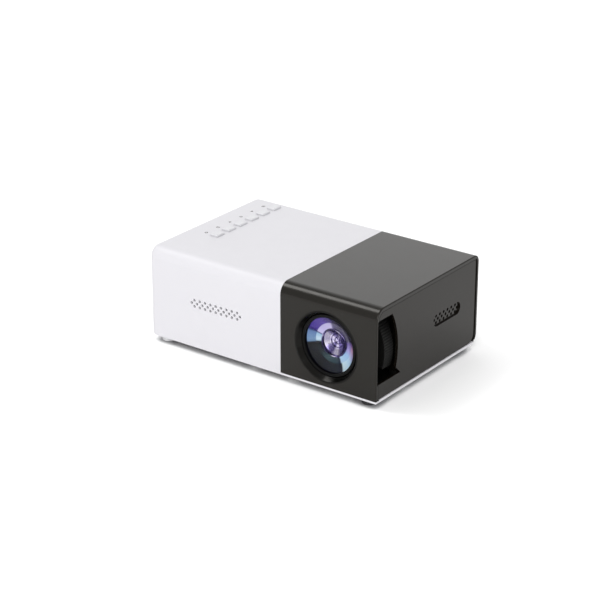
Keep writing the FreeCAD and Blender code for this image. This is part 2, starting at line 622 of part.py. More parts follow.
def lens_barrel():
    """The sliding barrel, its glass, rings and guide pins."""
    wall = lens_rod("barrel_wall", "barrel_radius", "barrel_nose", "barrel_tail")
    bore = lens_rod("barrel_through", "barrel_bore", "barrel_nose + 1", "barrel_tail - 1")
    seat = lens_rod("barrel_seat", "front_seat", "barrel_nose + 1", "barrel_nose - 4")
    holes = radial_rods("pin_hole", "pin_radius", (10, 20), "pin_place", PIN_ANGLES)
    node(cut("lens_barrel", wall, bore, seat, *holes))
    reach = ("barrel_bore + 0.2", "ring_hub - 0.4")
    pins = radial_rods("guide_pin", "pin_radius", reach, "pin_place", PIN_ANGLES)
    node(group("guide_pins", *pins))
    node(lens_blank("front_lens", "front_seat - 0.05", 38.0, 34.4, 60, 0))
    node(lens_tube("lens_retainer", "front_seat - 0.05", "lens_radius", 38.4, 36.7))
    stop = lens_rod("stop_disc", "barrel_bore - 0.05", 34.3, 31.4)
    cone = funnel("stop_cone", 10.6, 6.4, "Y", ("lens_across", "lens_up"), (-34.3, -32.2))
    hole = lens_rod("stop_hole", 6.4, 35, 31)
    node(cut("aperture_stop", stop, cone, hole))
    node(lens_blank("middle_lens", "lens_radius", 31.3, 29.2, 40, 0))
    node(lens_blank("rear_lens", "lens_radius", 19.5, 15.0, 34, 40))
    node(lens_tube("ring_clip", 16.6, "sleeve_radius - 0.35", 32.1, 31.6))
    screws = [screw("mount_screw", "Y", spot, -9.0, -12.6, -13.8, 1.05, 1.9) for spot in mount_corners()]
    node(group("mount_screws", *screws))


# ------------------------------------------------------------------------------------------- the light engine

PLATES = {  # each plate in the comb: its middle across, and its thickness
    "heat_glass": (-1.6, 1.2),
    "collimator_lens": (2.6, 2.0),
    "lcd_frame": (7.0, 2.4),
    "field_lens": (11.4, 2.0),
}


def engine_housing():
    """The box that holds the optics in slotted ribs, open at the top."""
    outside = box("engine_outside", ("engine_left", "engine_right"), ("engine_front", "engine_back"),
                  ("engine_low", "engine_rim"))
    inside = box("engine_inside", ("engine_left + engine_wall", "engine_right - engine_wall"),
                 ("engine_front + engine_wall", "engine_back - engine_wall"),
                 ("engine_low + engine_wall", "engine_rim + 1"))
    shell = cut("engine_shell", outside, inside,
                rod("lens_window", 14.0, "Y", ("lens_across", "lens_up"),
                    ("engine_front - 1", "engine_front + 3")),
                rod("lamp_window", 4.6, "X", ("light_along", "lens_up"),
                    ("engine_left - 1", "engine_left + 3")))
    ribs = []
    for side in ((f"engine_front + engine_wall", "engine_front + engine_wall + comb_depth"),
                 ("engine_back - engine_wall - comb_depth", "engine_back - engine_wall")):
        ribs.append(box("comb", (-3.6, 13.6), side, ("engine_low + 1", "engine_rim")))
    columns = [rod("lid_column", 2.9, "Z", spot, ("engine_low + 1", "engine_rim")) for spot in ENGINE_COLUMNS]
    bed = box("mirror_bed", (-20.5, 20.5), (1.3, 2.7), ("engine_low + 1", "lens_up + 14"))
    turn = Rotation(Vector(0, 0, 1), -45)
    bed = place(group("mirror_bed_turned", bed), "lens_across", "light_along", 0, turn)
    solid = fuse("engine_body", shell, *ribs, *columns, bed)
    slots = [box("comb_slot", (middle - thick / 2 - 0.1, middle + thick / 2 + 0.1), (-9, 35),
                 ("engine_low + engine_wall", 39)) for middle, thick in PLATES.values()]
    pilots = [rod("lid_pilot", 0.95, "Z", spot, (30, "engine_rim + 1")) for spot in ENGINE_COLUMNS]
    holes = [rod("engine_hole", 1.15, "Y", spot, (-12, -9)) for spot in mount_corners()]
    return node(cut("engine_housing", solid, *slots, *pilots, *holes))


def engine_lid():
    """The cover of the light engine, with a slit for the ribbon."""
    plate = box("lid_plate", ("engine_left", "engine_right"), ("engine_front", "engine_back"),
                ("engine_rim", "engine_top"))
    slit = box("lid_slit", (6.2, 7.8), (9, 24), (37, 41))
    holes = [rod("lid_hole", 1.1, "Z", spot, (37, 41)) for spot in ENGINE_COLUMNS]
    node(cut("engine_lid", plate, slit, *holes))
    screws = [screw("engine_screw", "Z", spot, 31.0, 39.6, 40.8, 0.9, 1.9) for spot in ENGINE_COLUMNS]
    node(group("engine_screws", *screws))


def optic_plate(label):
    """One of the upright plates across the light path."""
    middle, thick = PLATES[label]
    return box(label + "_plate", (middle - thick / 2, middle + thick / 2),
               ("light_along - plate_half", "light_along + plate_half"),
               ("lens_up - plate_high", "lens_up + plate_high"))


def optics():
    """Everything in the light path, from the lamp to the fold mirror."""
    for label in ("heat_glass", "collimator_lens", "field_lens"):
        node(optic_plate(label), label)
    middle, _ = PLATES["lcd_frame"]
    opening = box("lcd_opening", (middle - 3, middle + 3), ("light_along - 17", "light_along + 17"),
                  ("lens_up - 10", "lens_up + 10"))
    pocket = box("lcd_pocket", (middle - 0.7, middle + 0.7), ("light_along - 18.5", "light_along + 18.5"),
                 ("lens_up - 11.5", "lens_up + 11.5"))
    node(cut("lcd_frame", optic_plate("lcd_frame"), opening, pocket))
    node(box("lcd_panel", (middle - 0.6, middle + 0.6), ("light_along - 18.4", "light_along + 18.4"),
             ("lens_up - 11.4", "lens_up + 11.4")))
    mirror = box("mirror_glass", (-20, 20), (-0.2, 1.2), ("engine_low + 1.7", "lens_up + 14"))
    turn = Rotation(Vector(0, 0, 1), -45)
    node(place(group("fold_mirror", mirror), "lens_across", "light_along", 0, turn))
    axis = ("light_along", "lens_up")
    cone = funnel("reflector_outside", 5.0, 14.6, "X", axis, ("engine_left + 1.7", -3.8))
    hollow = funnel("reflector_hollow", 4.2, 13.8, "X", axis, ("engine_left + 1.7", -3.8))
    node(cut("reflector", cone, hollow))
    board = box("lamp_board", ("engine_left - 1.4", "engine_left"), ("light_along - 10", "light_along + 10"),
                ("lens_up - 10", "lens_up + 10"))
    dome = rod("lamp_dome", 3.4, "X", axis, ("engine_left - 0.5", "engine_left + 1.4"))
    node(fuse("led_module", board, dome))
    plate = box("sink_plate", ("engine_left - 4.4", "engine_left - 1.4"), (-3, 27.5), (7, 37))
    fins = [box("sink_fin", (-34, "engine_left - 4"), (-3, 27.5), (7 + 3.6 * step, 8.2 + 3.6 * step))
            for step in range(9)]
    node(fuse("heat_sink", plate, *fins))


def pipe(label, radius, points, bend):
    """A round wire along straight runs with rounded corners."""
    edges = []
    start = points[0]
    for before, corner, after in zip(points, points[1:], points[2:]):
        into, out = (corner - before).normalize(), (after - corner).normalize()
        enter, leave = corner - into * bend, corner + out * bend
        middle = corner + (out - into).normalize() * (bend * (math.sqrt(2) - 1))
        edges += [Part.LineSegment(start, enter).toShape(), Part.Arc(enter, middle, leave).toShape()]
        start = leave
    edges.append(Part.LineSegment(start, points[-1]).toShape())
    way = (points[1] - points[0]).normalize()
    section = Part.Wire(Part.Circle(points[0], way, radius).toShape())
    solid = doc.addObject("Part::Feature", label)
    solid.Shape = Part.Wire(edges).makePipeShell([section], True, True)
    return solid


def wiring():
    """The ribbon of the panel and the two wires of the lamp."""
    strip = (9.5, 23.5)
    thick = 0.25
    over, down = 41.4, -42.2
    rise = box("ribbon_rise", (7.0, 7.0 + thick), strip, ("lens_up + plate_high", over + thick))
    cross = box("ribbon_cross", (down, 7.0 + thick), strip, (over, over + thick))
    drop = box("ribbon_drop", (down, down + thick), strip, (12.0, over + thick))
    node(fuse("lcd_ribbon", rise, cross, drop))
    wires = []
    for along in (4.4, 7.2):
        lamp, plug, low, high = -20.75, -41.9, 12.5, 40.2
        points = [Vector(lamp, along, 32.6), Vector(lamp, along, high), Vector(plug, along, high),
                  Vector(plug, along, low)]
        wires.append(pipe("led_wire", 0.6, points, 2.5))
    node(group("led_wires", *wires))


# ---------------------------------------------------------------------------------------------------- the fan

def fan():
    """The cooling fan behind the front vent."""
    middle = ("vent_across", "vent_up")
    back = "fan_front + fan_deep"
    block = box("fan_block", ("vent_across - fan_side/2", "vent_across + fan_side/2"), ("fan_front", back),
                ("vent_up - fan_side/2", "vent_up + fan_side/2"))
    bore = rod("fan_through", "fan_bore", "Y", middle, ("fan_front - 1", f"{back} + 1"))
    corners = [(f"vent_across + {side}", f"vent_up + {rise}") for side in (-12, 12) for rise in (-12, 12)]
    holes = [rod("fan_hole", 1.2, "Y", spot, ("fan_front - 1", f"{back} + 1")) for spot in corners]
    hub = rod("fan_stator", 6.5, "Y", middle, (f"{back} - 1", back))
    struts = [box("fan_strut", (f"vent_across - {wide}", f"vent_across + {wide}"), (f"{back} - 1", back),
                  (f"vent_up - {tall}", f"vent_up + {tall}")) for wide, tall in ((14.5, 0.8), (0.8, 14.5))]
    post = rod("fan_post", 1.2, "Y", middle, ("fan_front + 1.4", f"{back} - 0.5"))
    node(fuse("fan_frame", cut("fan_tunnel", block, bore, *holes), hub, *struts, post))
    blades = []
    count = 7
    for step in range(count):
        blade = box("fan_blade", (4, 14), (-0.4, 0.4), (-4, 4))
        blade.Placement = Placement(Vector(), Rotation(Vector(1, 0, 0), 52))
        place(blade, 4, -1.5, 2)
        turned = group("blade_turned", blade)
        turned.Placement = Placement(Vector(), Rotation(Vector(0, 0, 1), step * 360 / count))
        blades.append(turned)
    disc_of_air = rod("fan_envelope", "fan_sweep", "Z", (0, 0), (0, 5.4))
    hub_disc = rod("rotor_hub", 6.4, "Z", (0, 0), (0, 5.4))
    rotor = common("rotor_trim", fuse("rotor_blank", *blades, hub_disc), disc_of_air)
    rotor = cut("fan_rotor", rotor, rod("rotor_bore", 1.27, "Z", (0, 0), (-1, 8)))
    node(place(rotor, "vent_across", "fan_front + 6.4", "vent_up", FORWARD))
    screws = [screw("fan_screw", "Y", spot, -39.6, -30.3, -29.1, 1.05, 1.9) for spot in corners]
    node(group("fan_screws", *screws))


# -------------------------------------------------------------------------------------------- the electronics

def sockets():
    """The connectors along the left end."""
    for label, (low, high, tall) in SOCKETS.items():
        middle = (low + high) / 2
        shell = box(label + "_shell", (SOCKET_FACE, SOCKET_BACK), (low, high),
                    ("board_top", f"board_top + {tall}"))
        if tall >= 7:
            up = f"board_top + {tall / 2}"
            radius, reach = (3.1, 10.0) if label == "power_socket" else (1.8, 11.0)
            hole = rod(label + "_bore", radius, "X", (middle, up), (SOCKET_FACE - 1, SOCKET_FACE + reach))
            solid = cut(label + "_body", shell, hole)
            if label == "power_socket":
                pin = rod("power_pin", 1.0, "X", (middle, up), (SOCKET_FACE + 1.0, SOCKET_FACE + reach + 1))
                solid = fuse(label + "_whole", solid, pin)
        else:
            lip = 0.5 if label == "card_socket" else 0.8
            mouth = box(label + "_mouth", (SOCKET_FACE - 1, SOCKET_FACE + 9), (low + lip, high - lip),
                        (f"board_top + {lip}", f"board_top + {tall - lip}"))
            solid = cut(label + "_body", shell, mouth)
            if label != "card_socket":
                tongue = box(label + "_tongue", (SOCKET_FACE + 1, SOCKET_FACE + 9.5), (low + 2, high - 2),
                             (f"board_top + {tall / 2 - 0.5}", f"board_top + {tall / 2 + 0.5}"))
                solid = fuse(label + "_whole", solid, tongue)
        node(solid, label)


def boards():
    """The main board with its parts, and the board under the keys."""
    plate = box("board_plate", ("board_left", "board_right"), ("-board_half", "board_half"),
                ("board_low", "board_top"))
    holes = [rod("board_hole", 1.3, "Z", spot, (7, 11)) for spot in BOARD_POSTS]
    node(cut("main_board", plate, *holes))
    node(box("main_chip", (-48.8, -41.5), (-26, -12), ("board_top", "board_top + 1.8")))
    capacitors = [rod("capacitor", 2.4, "Z", (-45.2, along), ("board_top", "board_top + 8"))
                  for along in (-7.6, 27.6)]
    plugs = [box("ribbon_plug", (-44.6, -41.2), (9, 24), ("board_top", 12.0)),
             box("wire_plug", (-44.6, -41.0), (3, 8.6), ("board_top", 12.5))]
    node(group("board_parts", *capacitors, *plugs))
    screws = [screw("board_screw", "Z", spot, 5.6, 9.6, 10.8, 1.1, 2.0) for spot in BOARD_POSTS]
    node(group("board_screws", *screws))
    level = ("key_board_low", "key_board_top")
    strip = box("key_strip", ("key_across - 3.6", "key_across + 3.6"), (-19, 37.4), level)
    key_holes = [rod("key_board_hole", 0.8, "Z", ("key_across", along), (38, 41))
                 for along in KEY_BOARD_POSTS]
    node(cut("key_board", strip, *key_holes))
    screws = [screw("key_board_screw", "Z", ("key_across", along), 42.0, 38.5, 37.6, 0.6, 1.0)
              for along in KEY_BOARD_POSTS]
    node(group("key_board_screws", *screws))
    switches = []
    for step in range(len(KEYS)):
        along = f"key_along + ({step - 2.5}) * key_pitch"
        cell = box("switch_cell", ("key_across - 2.2", "key_across + 2.2"),
                   (f"{along} - 2.2", f"{along} + 2.2"), ("key_board_top", 41.2))
        plunger = rod("switch_plunger", 1.1, "Z", ("key_across", along), (41, 42.0))
        switches.append(fuse("key_switch", cell, plunger))
    node(group("key_switches", *switches))


def keys():
    """The six push keys, each held under the roof by its flange."""
    for step, name in enumerate(KEYS):
        body = doc.addObject("PartDesign::Body", name + "_key")
        along = f"key_along + ({step - 2.5}) * key_pitch"
        cap = (("key_across - key_wide/2", "key_across + key_wide/2"),
               (f"{along} - key_long/2", f"{along} + key_long/2"))
        skirt = (("key_across - key_wide/2 - 0.6", "key_across + key_wide/2 + 0.6"),
                 (f"{along} - key_long/2 - 0.6", f"{along} + key_long/2 + 0.6"))
        extrude(body, "Pad", "Z", ("crown - wall - 0.6", "crown + key_proud"), cap)
        head = SIZES["crown"] + SIZES["key_proud"]
        round_edges(body, "edge_break", lambda edge: near(edge.ZMin, head))
        extrude(body, "Pad", "Z", ("crown - wall - 1.3", "crown - wall - 0.3"), skirt)
        extrude(body, "Pad", "Z", ("crown - wall - 1.95", "crown - wall - 1"), ("key_across", along, 1.1))
        node(body)


def speaker():
    """The small speaker behind the side grille."""
    axis = ("grille_along", "grille_up")
    block = box("speaker_block", (56.6, 60.4), ("grille_along - 15", "grille_along + 15"),
                ("grille_up - 9", "grille_up + 9"))
    hollow = rod("speaker_hollow", 8.2, "X", axis, (57.4, 61))
    node(cut("speaker_frame", block, hollow))
    node(cut("speaker_cone", funnel("cone_outside", 4.0, 8.0, "X", axis, (57.5, 60.0)),
             funnel("cone_hollow", 3.2, 7.2, "X", axis, (57.9, 60.4))))
    node(rod("speaker_magnet", 7.5, "X", axis, (54.3, 56.6)))


# -------------------------------------------------------------------------------------------------- the build

def check_and_write():
    """Recompute, stop on any failed object or bad shape, and write each sub-part to its file."""
    doc.recompute()
    failed = [item.Label for item in doc.Objects if {"Invalid", "Error"} & set(item.State)]
    if failed:
        raise SystemExit(f"failed objects: {failed}")
    labels = [solid.Label for solid in nodes]
    if len(set(labels)) != len(labels):
        raise SystemExit("two sub-parts share a label")
    for solid in nodes:
        shape = solid.Shape
        if shape.isNull() or not shape.isValid() or not shape.Solids:
            raise SystemExit(f"bad shape: {solid.Label}")
        if shape.ShapeType == "Solid" or len(shape.Solids) == 1:
            shape = shape.Solids[0]
        shape.exportStep(os.path.join("parts", solid.Label + ".step"))
    print(f"{len(nodes)} sub-parts")


def main():
    """Build the projector from the casing inwards."""
    make_sheet()
    base_shell()
    white_cover()
    dark_cover()
    end_panel()
    lens_bezel()
    fittings()
    lens_mount()
    focus_ring()
    lens_barrel()
    engine_housing()
    engine_lid()
    optics()
    wiring()
    fan()
    sockets()
    boards()
    keys()
    speaker()
    os.makedirs("parts", exist_ok=True)
    check_and_write()


main()
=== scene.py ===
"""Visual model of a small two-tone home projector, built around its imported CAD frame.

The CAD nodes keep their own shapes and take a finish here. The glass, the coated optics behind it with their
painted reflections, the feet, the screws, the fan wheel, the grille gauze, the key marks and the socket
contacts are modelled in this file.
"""
import logging
import math
from collections.abc import Iterable, Sequence
from dataclasses import dataclass, field
from enum import Enum

import bmesh
import bpy
from mathutils import Matrix, Vector


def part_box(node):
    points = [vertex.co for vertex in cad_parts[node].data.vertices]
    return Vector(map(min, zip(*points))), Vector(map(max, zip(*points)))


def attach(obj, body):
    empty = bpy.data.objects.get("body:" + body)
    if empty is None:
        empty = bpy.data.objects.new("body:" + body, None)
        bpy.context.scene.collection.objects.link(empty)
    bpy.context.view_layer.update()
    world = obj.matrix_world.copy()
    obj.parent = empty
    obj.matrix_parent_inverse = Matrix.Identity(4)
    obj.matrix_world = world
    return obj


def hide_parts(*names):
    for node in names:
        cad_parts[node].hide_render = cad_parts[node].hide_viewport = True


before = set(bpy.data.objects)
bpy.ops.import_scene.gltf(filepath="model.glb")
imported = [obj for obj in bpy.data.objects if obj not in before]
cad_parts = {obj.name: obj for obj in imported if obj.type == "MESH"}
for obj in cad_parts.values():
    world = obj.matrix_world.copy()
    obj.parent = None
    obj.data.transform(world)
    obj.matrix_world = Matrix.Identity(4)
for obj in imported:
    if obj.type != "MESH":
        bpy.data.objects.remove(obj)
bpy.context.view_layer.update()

MM = 0.001
NOISE_LOW, NOISE_HIGH = 0.3, 0.7
MIX_AMOUNT, MIX_FIRST, MIX_LAST, MIX_COLOUR = 0, 6, 7, 2
THIRD = 2

log = logging.getLogger("projector")

Colour = tuple[float, float, float]
Point = tuple[float, float, float]
Profile = Sequence[tuple[float, float]]
Stops = tuple[tuple[float, Colour], ...]
Socket = bpy.types.NodeSocket


class Body(str, Enum):
    """The moving bodies of the frame that pieces in this file ride on."""

    CASE = "case"
    BARREL = "lens_barrel"
    FAN = "fan_rotor"


class Axis(Enum):
    """The direction that a turned piece is built along."""

    Y = Vector((0, 1, 0))
    Z = Vector((0, 0, 1))


def srgb(red: int, green: int, blue: int) -> Colour:
    """A display colour of 0 to 255 a channel, as linear light.

    Args:
        red: The red channel.
        green: The green channel.
        blue: The blue channel.

    Returns:
        The same colour in linear values of 0 to 1.
    """
    def linear(value: float) -> float:
        return value / 12.92 if value <= 0.04045 else ((value + 0.055) / 1.055) ** 2.4

    return linear(red / 255), linear(green / 255), linear(blue / 255)


def tints(*rows: tuple[float, float, float, float]) -> Stops:
    """Angles in degrees, each with its display red, green and blue."""
    return tuple((angle, srgb(*shade)) for angle, *shade in rows)


def scaled(colour: Colour, share: float) -> Colour:
    """A colour made darker or paler by a share."""
    return tuple(channel * share for channel in colour)


# ------------------------------------------------------------------------------------------- materials

class NodeBench:
    """One material's node tree, with short ways to add and join its nodes."""

    def __init__(self, name: str) -> None:
        """Start an empty tree with a Principled shader on its output.

        Args:
            name: The material's name.
        """
        self.material = bpy.data.materials.new(name)
        self.material.use_nodes = True
        self.tree = self.material.node_tree
        self.tree.nodes.clear()
        self.output = self.add("ShaderNodeOutputMaterial")
        self.shader = self.add("ShaderNodeBsdfPrincipled")
        self.join(self.shader.outputs["BSDF"], self.output.inputs["Surface"])
        self.place = self.add("ShaderNodeTexCoord").outputs["Object"]

    def add(self, kind: str, **settings: object) -> bpy.types.Node:
        """Add a node and set its properties.

        Args:
            kind: The node's type name.
            **settings: Properties of the node.

        Returns:
            The new node.
        """
        node = self.tree.nodes.new(kind)
        for key, value in settings.items():
            setattr(node, key, value)
        return node

    def join(self, source: Socket, target: Socket) -> None:
        """Link an output to an input."""
        self.tree.links.new(source, target)

    def enter(self, node: bpy.types.Node, **values: object) -> None:
        """Set plain values on a node's inputs, named with underscores for spaces."""
        for key, value in values.items():
            socket = node.inputs[key.replace("_", " ")]
            socket.default_value = (*value, 1.0) if isinstance(value, tuple) else value

    def set(self, **values: object) -> None:
        """Set plain values on the shader."""
        self.enter(self.shader, **values)

    def paint(self, colour: Socket) -> None:
        """Give the shader its colour from an output."""
        self.join(colour, self.shader.inputs["Base Color"])

    def dull(self, roughness: Socket) -> None:
        """Give the shader its roughness from an output."""
        self.join(roughness, self.shader.inputs["Roughness"])

    def axes(self) -> bpy.types.NodeOutputs:
        """The piece's own coordinates as outputs X, Y and Z."""
        node = self.add("ShaderNodeSeparateXYZ")
        self.join(self.place, node.inputs[0])
        return node.outputs

    def polar(self, middle: Point) -> tuple[Socket, ...]:
        """Places about an axis along Y.

        Args:
            middle: A point on the axis.

        Returns:
            The outputs for how far across, how far up, and the radius.
        """
        axes = self.axes()
        across = self.math("SUBTRACT", axes["X"], middle[0])
        up = self.math("SUBTRACT", axes["Z"], middle[2])
        square = self.math("ADD", self.math("MULTIPLY", across, across), self.math("MULTIPLY", up, up))
        return across, up, self.math("SQRT", square, 0.0)

    def noise(self, scale: float, detail: float = 3.0, roughness: float = 0.5) -> Socket:
        """Noise over the piece's own coordinates.

        Args:
            scale: Cycles per metre.
            detail: Octaves of the noise.
            roughness: How strong the small octaves are.

        Returns:
            The noise's value output.
        """
        node = self.add("ShaderNodeTexNoise")
        self.enter(node, Scale=scale, Detail=detail, Roughness=roughness)
        self.join(self.place, node.inputs["Vector"])
        return node.outputs["Fac"]

    def spread(self, value: Socket, low: float, high: float) -> Socket:
        """Map a value's middle range to another range.

        Args:
            value: The value output, which noise keeps between NOISE_LOW and NOISE_HIGH.
            low: The result at the low end.
            high: The result at the high end.

        Returns:
            The mapped value output.
        """
        node = self.add("ShaderNodeMapRange")
        self.enter(node, From_Min=NOISE_LOW, From_Max=NOISE_HIGH, To_Min=low, To_Max=high)
        self.join(value, node.inputs["Value"])
        return node.outputs["Result"]

    def blend(self, amount: Socket, first: Colour, last: Colour) -> Socket:
        """Mix two colours by a value.

        Args:
            amount: The value output that mixes them.
            first: The colour at 0.
            last: The colour at 1.

        Returns:
            The mixed colour output.
        """
        node = self.add("ShaderNodeMix", data_type="RGBA")
        node.inputs[MIX_FIRST].default_value = (*first, 1.0)
        node.inputs[MIX_LAST].default_value = (*last, 1.0)
        self.join(amount, node.inputs[MIX_AMOUNT])
        return node.outputs[MIX_COLOUR]

    def ramp(self, value: Socket, stops: Stops) -> Socket:
        """Colour a value by stops.

        Args:
            value: The value output, 0 to 1.
            stops: Places and colours in rising order.

        Returns:
            The colour output.
        """
        node = self.add("ShaderNodeValToRGB")
        elements = node.color_ramp.elements
        elements.remove(elements[-1])
        elements[0].position = stops[0][0]
        elements[0].color = (*stops[0][1], 1.0)
        for where, colour in stops[1:]:
            elements.new(where).color = (*colour, 1.0)
        self.join(value, node.inputs["Fac"])
        return node.outputs["Color"]

    def math(self, operation: str, first: object, second: object) -> Socket:
        """A sum on two values.

        Args:
            operation: The Math node's operation.
            first: An output or a number.
            second: An output or a number.

        Returns:
            The result output.
        """
        node = self.add("ShaderNodeMath", operation=operation)
        for socket, value in zip(node.inputs, (first, second)):
            if isinstance(value, Socket):
                self.join(value, socket)
            else:
                socket.default_value = value
        return node.outputs[0]

    def bump(self, height: Socket, strength: float, distance: float) -> None:
        """Put a bump of a given height in metres on the shader."""
        node = self.add("ShaderNodeBump")
        self.enter(node, Strength=strength, Distance=distance)
        self.join(height, node.inputs["Height"])
        self.join(node.outputs["Normal"], self.shader.inputs["Normal"])


@dataclass(frozen=True)
class Finish:
    """What every finish has: a name and a way to make its material."""

    name: str

    def material(self) -> bpy.types.Material:
        """Make the material, or find it if it is made already."""
        found = bpy.data.materials.get(self.name)
        if found:
            return found
        bench = NodeBench(self.name)
        self.dress(bench)
        return bench.material

    def dress(self, bench: NodeBench) -> None:
        """Fill the node tree."""
        raise NotImplementedError


@dataclass(frozen=True)
class Moulded(Finish):
    """Injection-moulded plastic: faint flow marks, a fine grain and a roughness that wanders."""

    colour: Colour
    roughness: float = 0.35
    wander: float = 0.05
    grain: float = 2600.0
    grain_height: float = 0.01 * MM
    tint: float = 0.04
    index: float = 1.46
    sheen_tint: Colour = (1.0, 1.0, 1.0)
    flow_scale: float = 26.0
    mark_scale: float = 180.0
    grain_strength: float = 0.25

    def dress(self, bench: NodeBench) -> None:
        """Fill the node tree."""
        flow = bench.noise(self.flow_scale, 4.0, 0.55)
        darker = scaled(self.colour, 1 - self.tint)
        bench.paint(bench.blend(bench.spread(flow, 0.0, 1.0), self.colour, darker))
        marks = bench.noise(self.mark_scale, 5.0, 0.6)
        bench.dull(bench.spread(marks, self.roughness - self.wander, self.roughness + self.wander))
        bench.set(IOR=self.index, Specular_Tint=self.sheen_tint)
        bench.bump(bench.noise(self.grain, 2.0), self.grain_strength, self.grain_height)


@dataclass(frozen=True)
class BaseWithPaintedShade(Moulded):
    """The white base tray, with painted shade: its inside behind the dark end is painted black to stand in
    for the shade there.
    """

    painted_inner_shade: Colour = srgb(14, 14, 13)
    across: float = 8.0 * MM
    end: float = 61.2 * MM
    side: float = 38.8 * MM
    floor: float = 3.2 * MM

    def dress(self, bench: NodeBench) -> None:
        """Fill the node tree."""
        super().dress(bench)
        axes = bench.axes()
        # Mask of the painted shade: the tray's inside behind the dark end.
        inner = bench.math("GREATER_THAN", axes["X"], self.across)
        edges = (
            ("LESS_THAN", "X", self.end),
            ("LESS_THAN", "Y", self.side),
            ("GREATER_THAN", "Y", -self.side),
            ("GREATER_THAN", "Z", self.floor),
        )
        for test, axis, limit in edges:
            inner = bench.math("MULTIPLY", inner, bench.math(test, axes[axis], limit))
        # Painted shade: the inside of the tray is coloured black where shade falls inside the casing.
        bench.paint(bench.blend(inner, self.colour, self.painted_inner_shade))


@dataclass(frozen=True)
class Metal(Finish):
    """Bare metal with fine scratches along one axis."""

    colour: Colour
    roughness: float = 0.3
    scratch: Point = (1.0, 14.0, 1.0)
    scratch_scale: float = 900.0
    shadow: float = 0.82
    polish: float = 0.3

    def dress(self, bench: NodeBench) -> None:
        """Fill the node tree."""
        mapping = bench.add("ShaderNodeMapping")
        mapping.inputs["Scale"].default_value = self.scratch
        bench.join(bench.place, mapping.inputs["Vector"])
        bench.place = mapping.outputs["Vector"]
        lines = bench.noise(self.scratch_scale, 6.0, 0.7)
        darker = scaled(self.colour, self.shadow)
        bench.paint(bench.blend(bench.spread(lines, 0.0, 1.0), self.colour, darker))
        sway = self.roughness * self.polish
        bench.dull(bench.spread(lines, self.roughness - sway, self.roughness + sway))
        bench.set(Metallic=1.0)
        bench.bump(lines, 0.2, 0.01 * MM)


@dataclass(frozen=True)
class RubberSkin(Finish):
    """Matte rubber with a dusty bloom."""

    colour: Colour = srgb(30, 30, 31)
    bloom_scale: float = 420.0
    bloom_gain: float = 2.2
    brightest: float = 0.8

    def dress(self, bench: NodeBench) -> None:
        """Fill the node tree."""
        bloom = bench.noise(self.bloom_scale, 6.0, 0.65)
        pale = tuple(min(channel, self.brightest) for channel in scaled(self.colour, self.bloom_gain))
        bench.paint(bench.blend(bench.spread(bloom, 0.0, 0.6), self.colour, pale))
        bench.dull(bench.spread(bloom, 0.72, 0.9))
        bench.bump(bench.noise(3200.0, 3.0), 0.5, 0.03 * MM)


@dataclass(frozen=True)
class ClearGlass(Finish):
    """Polished glass with a faint coating tint and a trace of haze."""

    tint: Colour = (0.93, 0.92, 1.0)
    index: float = 1.45

    def dress(self, bench: NodeBench) -> None:
        """Fill the node tree."""
        haze = bench.noise(120.0, 4.0)
        bench.paint(bench.blend(bench.spread(haze, 0.0, 1.0), self.tint, scaled(self.tint, 0.97)))
        bench.dull(bench.spread(haze, 0.0, 0.025))
        bench.set(IOR=self.index, Transmission_Weight=1.0)


@dataclass(frozen=True)
class FrontCoating(Finish):
    """Bloomed front glass: it shows what is behind it and adds only a faint cool sheen."""

    cover: float = 0.05
    wander: float = 0.2
    tint: Colour = srgb(30, 24, 64)

    def dress(self, bench: NodeBench) -> None:
        """Fill the node tree."""
        haze = bench.noise(120.0, 4.0)
        cover = bench.spread(haze, self.cover * (1 - self.wander), self.cover * (1 + self.wander))
        bench.join(cover, bench.shader.inputs["Alpha"])
        bench.dull(bench.spread(haze, 0.02, 0.05))
        bench.set(Base_Color=self.tint, IOR=1.5)


@dataclass(frozen=True)
class DialFinish(Finish):
    """The focus wheel: a pale face inside a matte black milled rim, partly its own two tones and partly
    painted light: the pale face stands in for light reaching it through the side opening, the black rim for
    shade.
    """

    middle: Point
    rim_radius: float
    face: Colour = srgb(128, 124, 116)
    rim: Colour = srgb(9, 9, 8)

    def dress(self, bench: NodeBench) -> None:
        """Fill the node tree."""
        radius = bench.polar(self.middle)[THIRD]
        beyond = bench.math("GREATER_THAN", radius, self.rim_radius)
        grain = bench.noise(900.0, 3.0)
        # Pale face and black rim: partly the wheel's two tones, partly painted light and shade.
        bench.paint(bench.blend(beyond, self.face, self.rim))
        bench.dull(bench.spread(grain, 0.5, 0.66))
        bench.bump(grain, 0.2, 0.01 * MM)
        bench.set(IOR=1.25)


@dataclass(frozen=True)
class SolderMask(Finish):
    """A circuit board's lacquer over a net of copper tracks."""

    colour: Colour = srgb(18, 74, 38)
    net_scale: float = 420.0
    track_width: float = 0.08

    def dress(self, bench: NodeBench) -> None:
        """Fill the node tree."""
        tracks = bench.add("ShaderNodeTexVoronoi", feature="DISTANCE_TO_EDGE", distance="CHEBYCHEV")
        bench.enter(tracks, Scale=self.net_scale)
        bench.join(bench.place, tracks.inputs["Vector"])
        line = bench.math("LESS_THAN", tracks.outputs["Distance"], self.track_width)
        bench.paint(bench.blend(line, self.colour, scaled(self.colour, 1.9)))
        bench.dull(bench.spread(bench.noise(600.0), 0.3, 0.42))
        bench.bump(line, 0.3, 0.03 * MM)


@dataclass(frozen=True)
class PaperCone(Finish):
    """Pressed paper fibre."""

    colour: Colour = srgb(38, 37, 35)

    def dress(self, bench: NodeBench) -> None:
        """Fill the node tree."""
        fibre = bench.noise(1500.0, 8.0, 0.8)
        bench.paint(bench.blend(bench.spread(fibre, 0.0, 1.0), self.colour, scaled(self.colour, 1.8)))
        bench.set(Roughness=0.85)
        bench.bump(fibre, 0.6, 0.05 * MM)


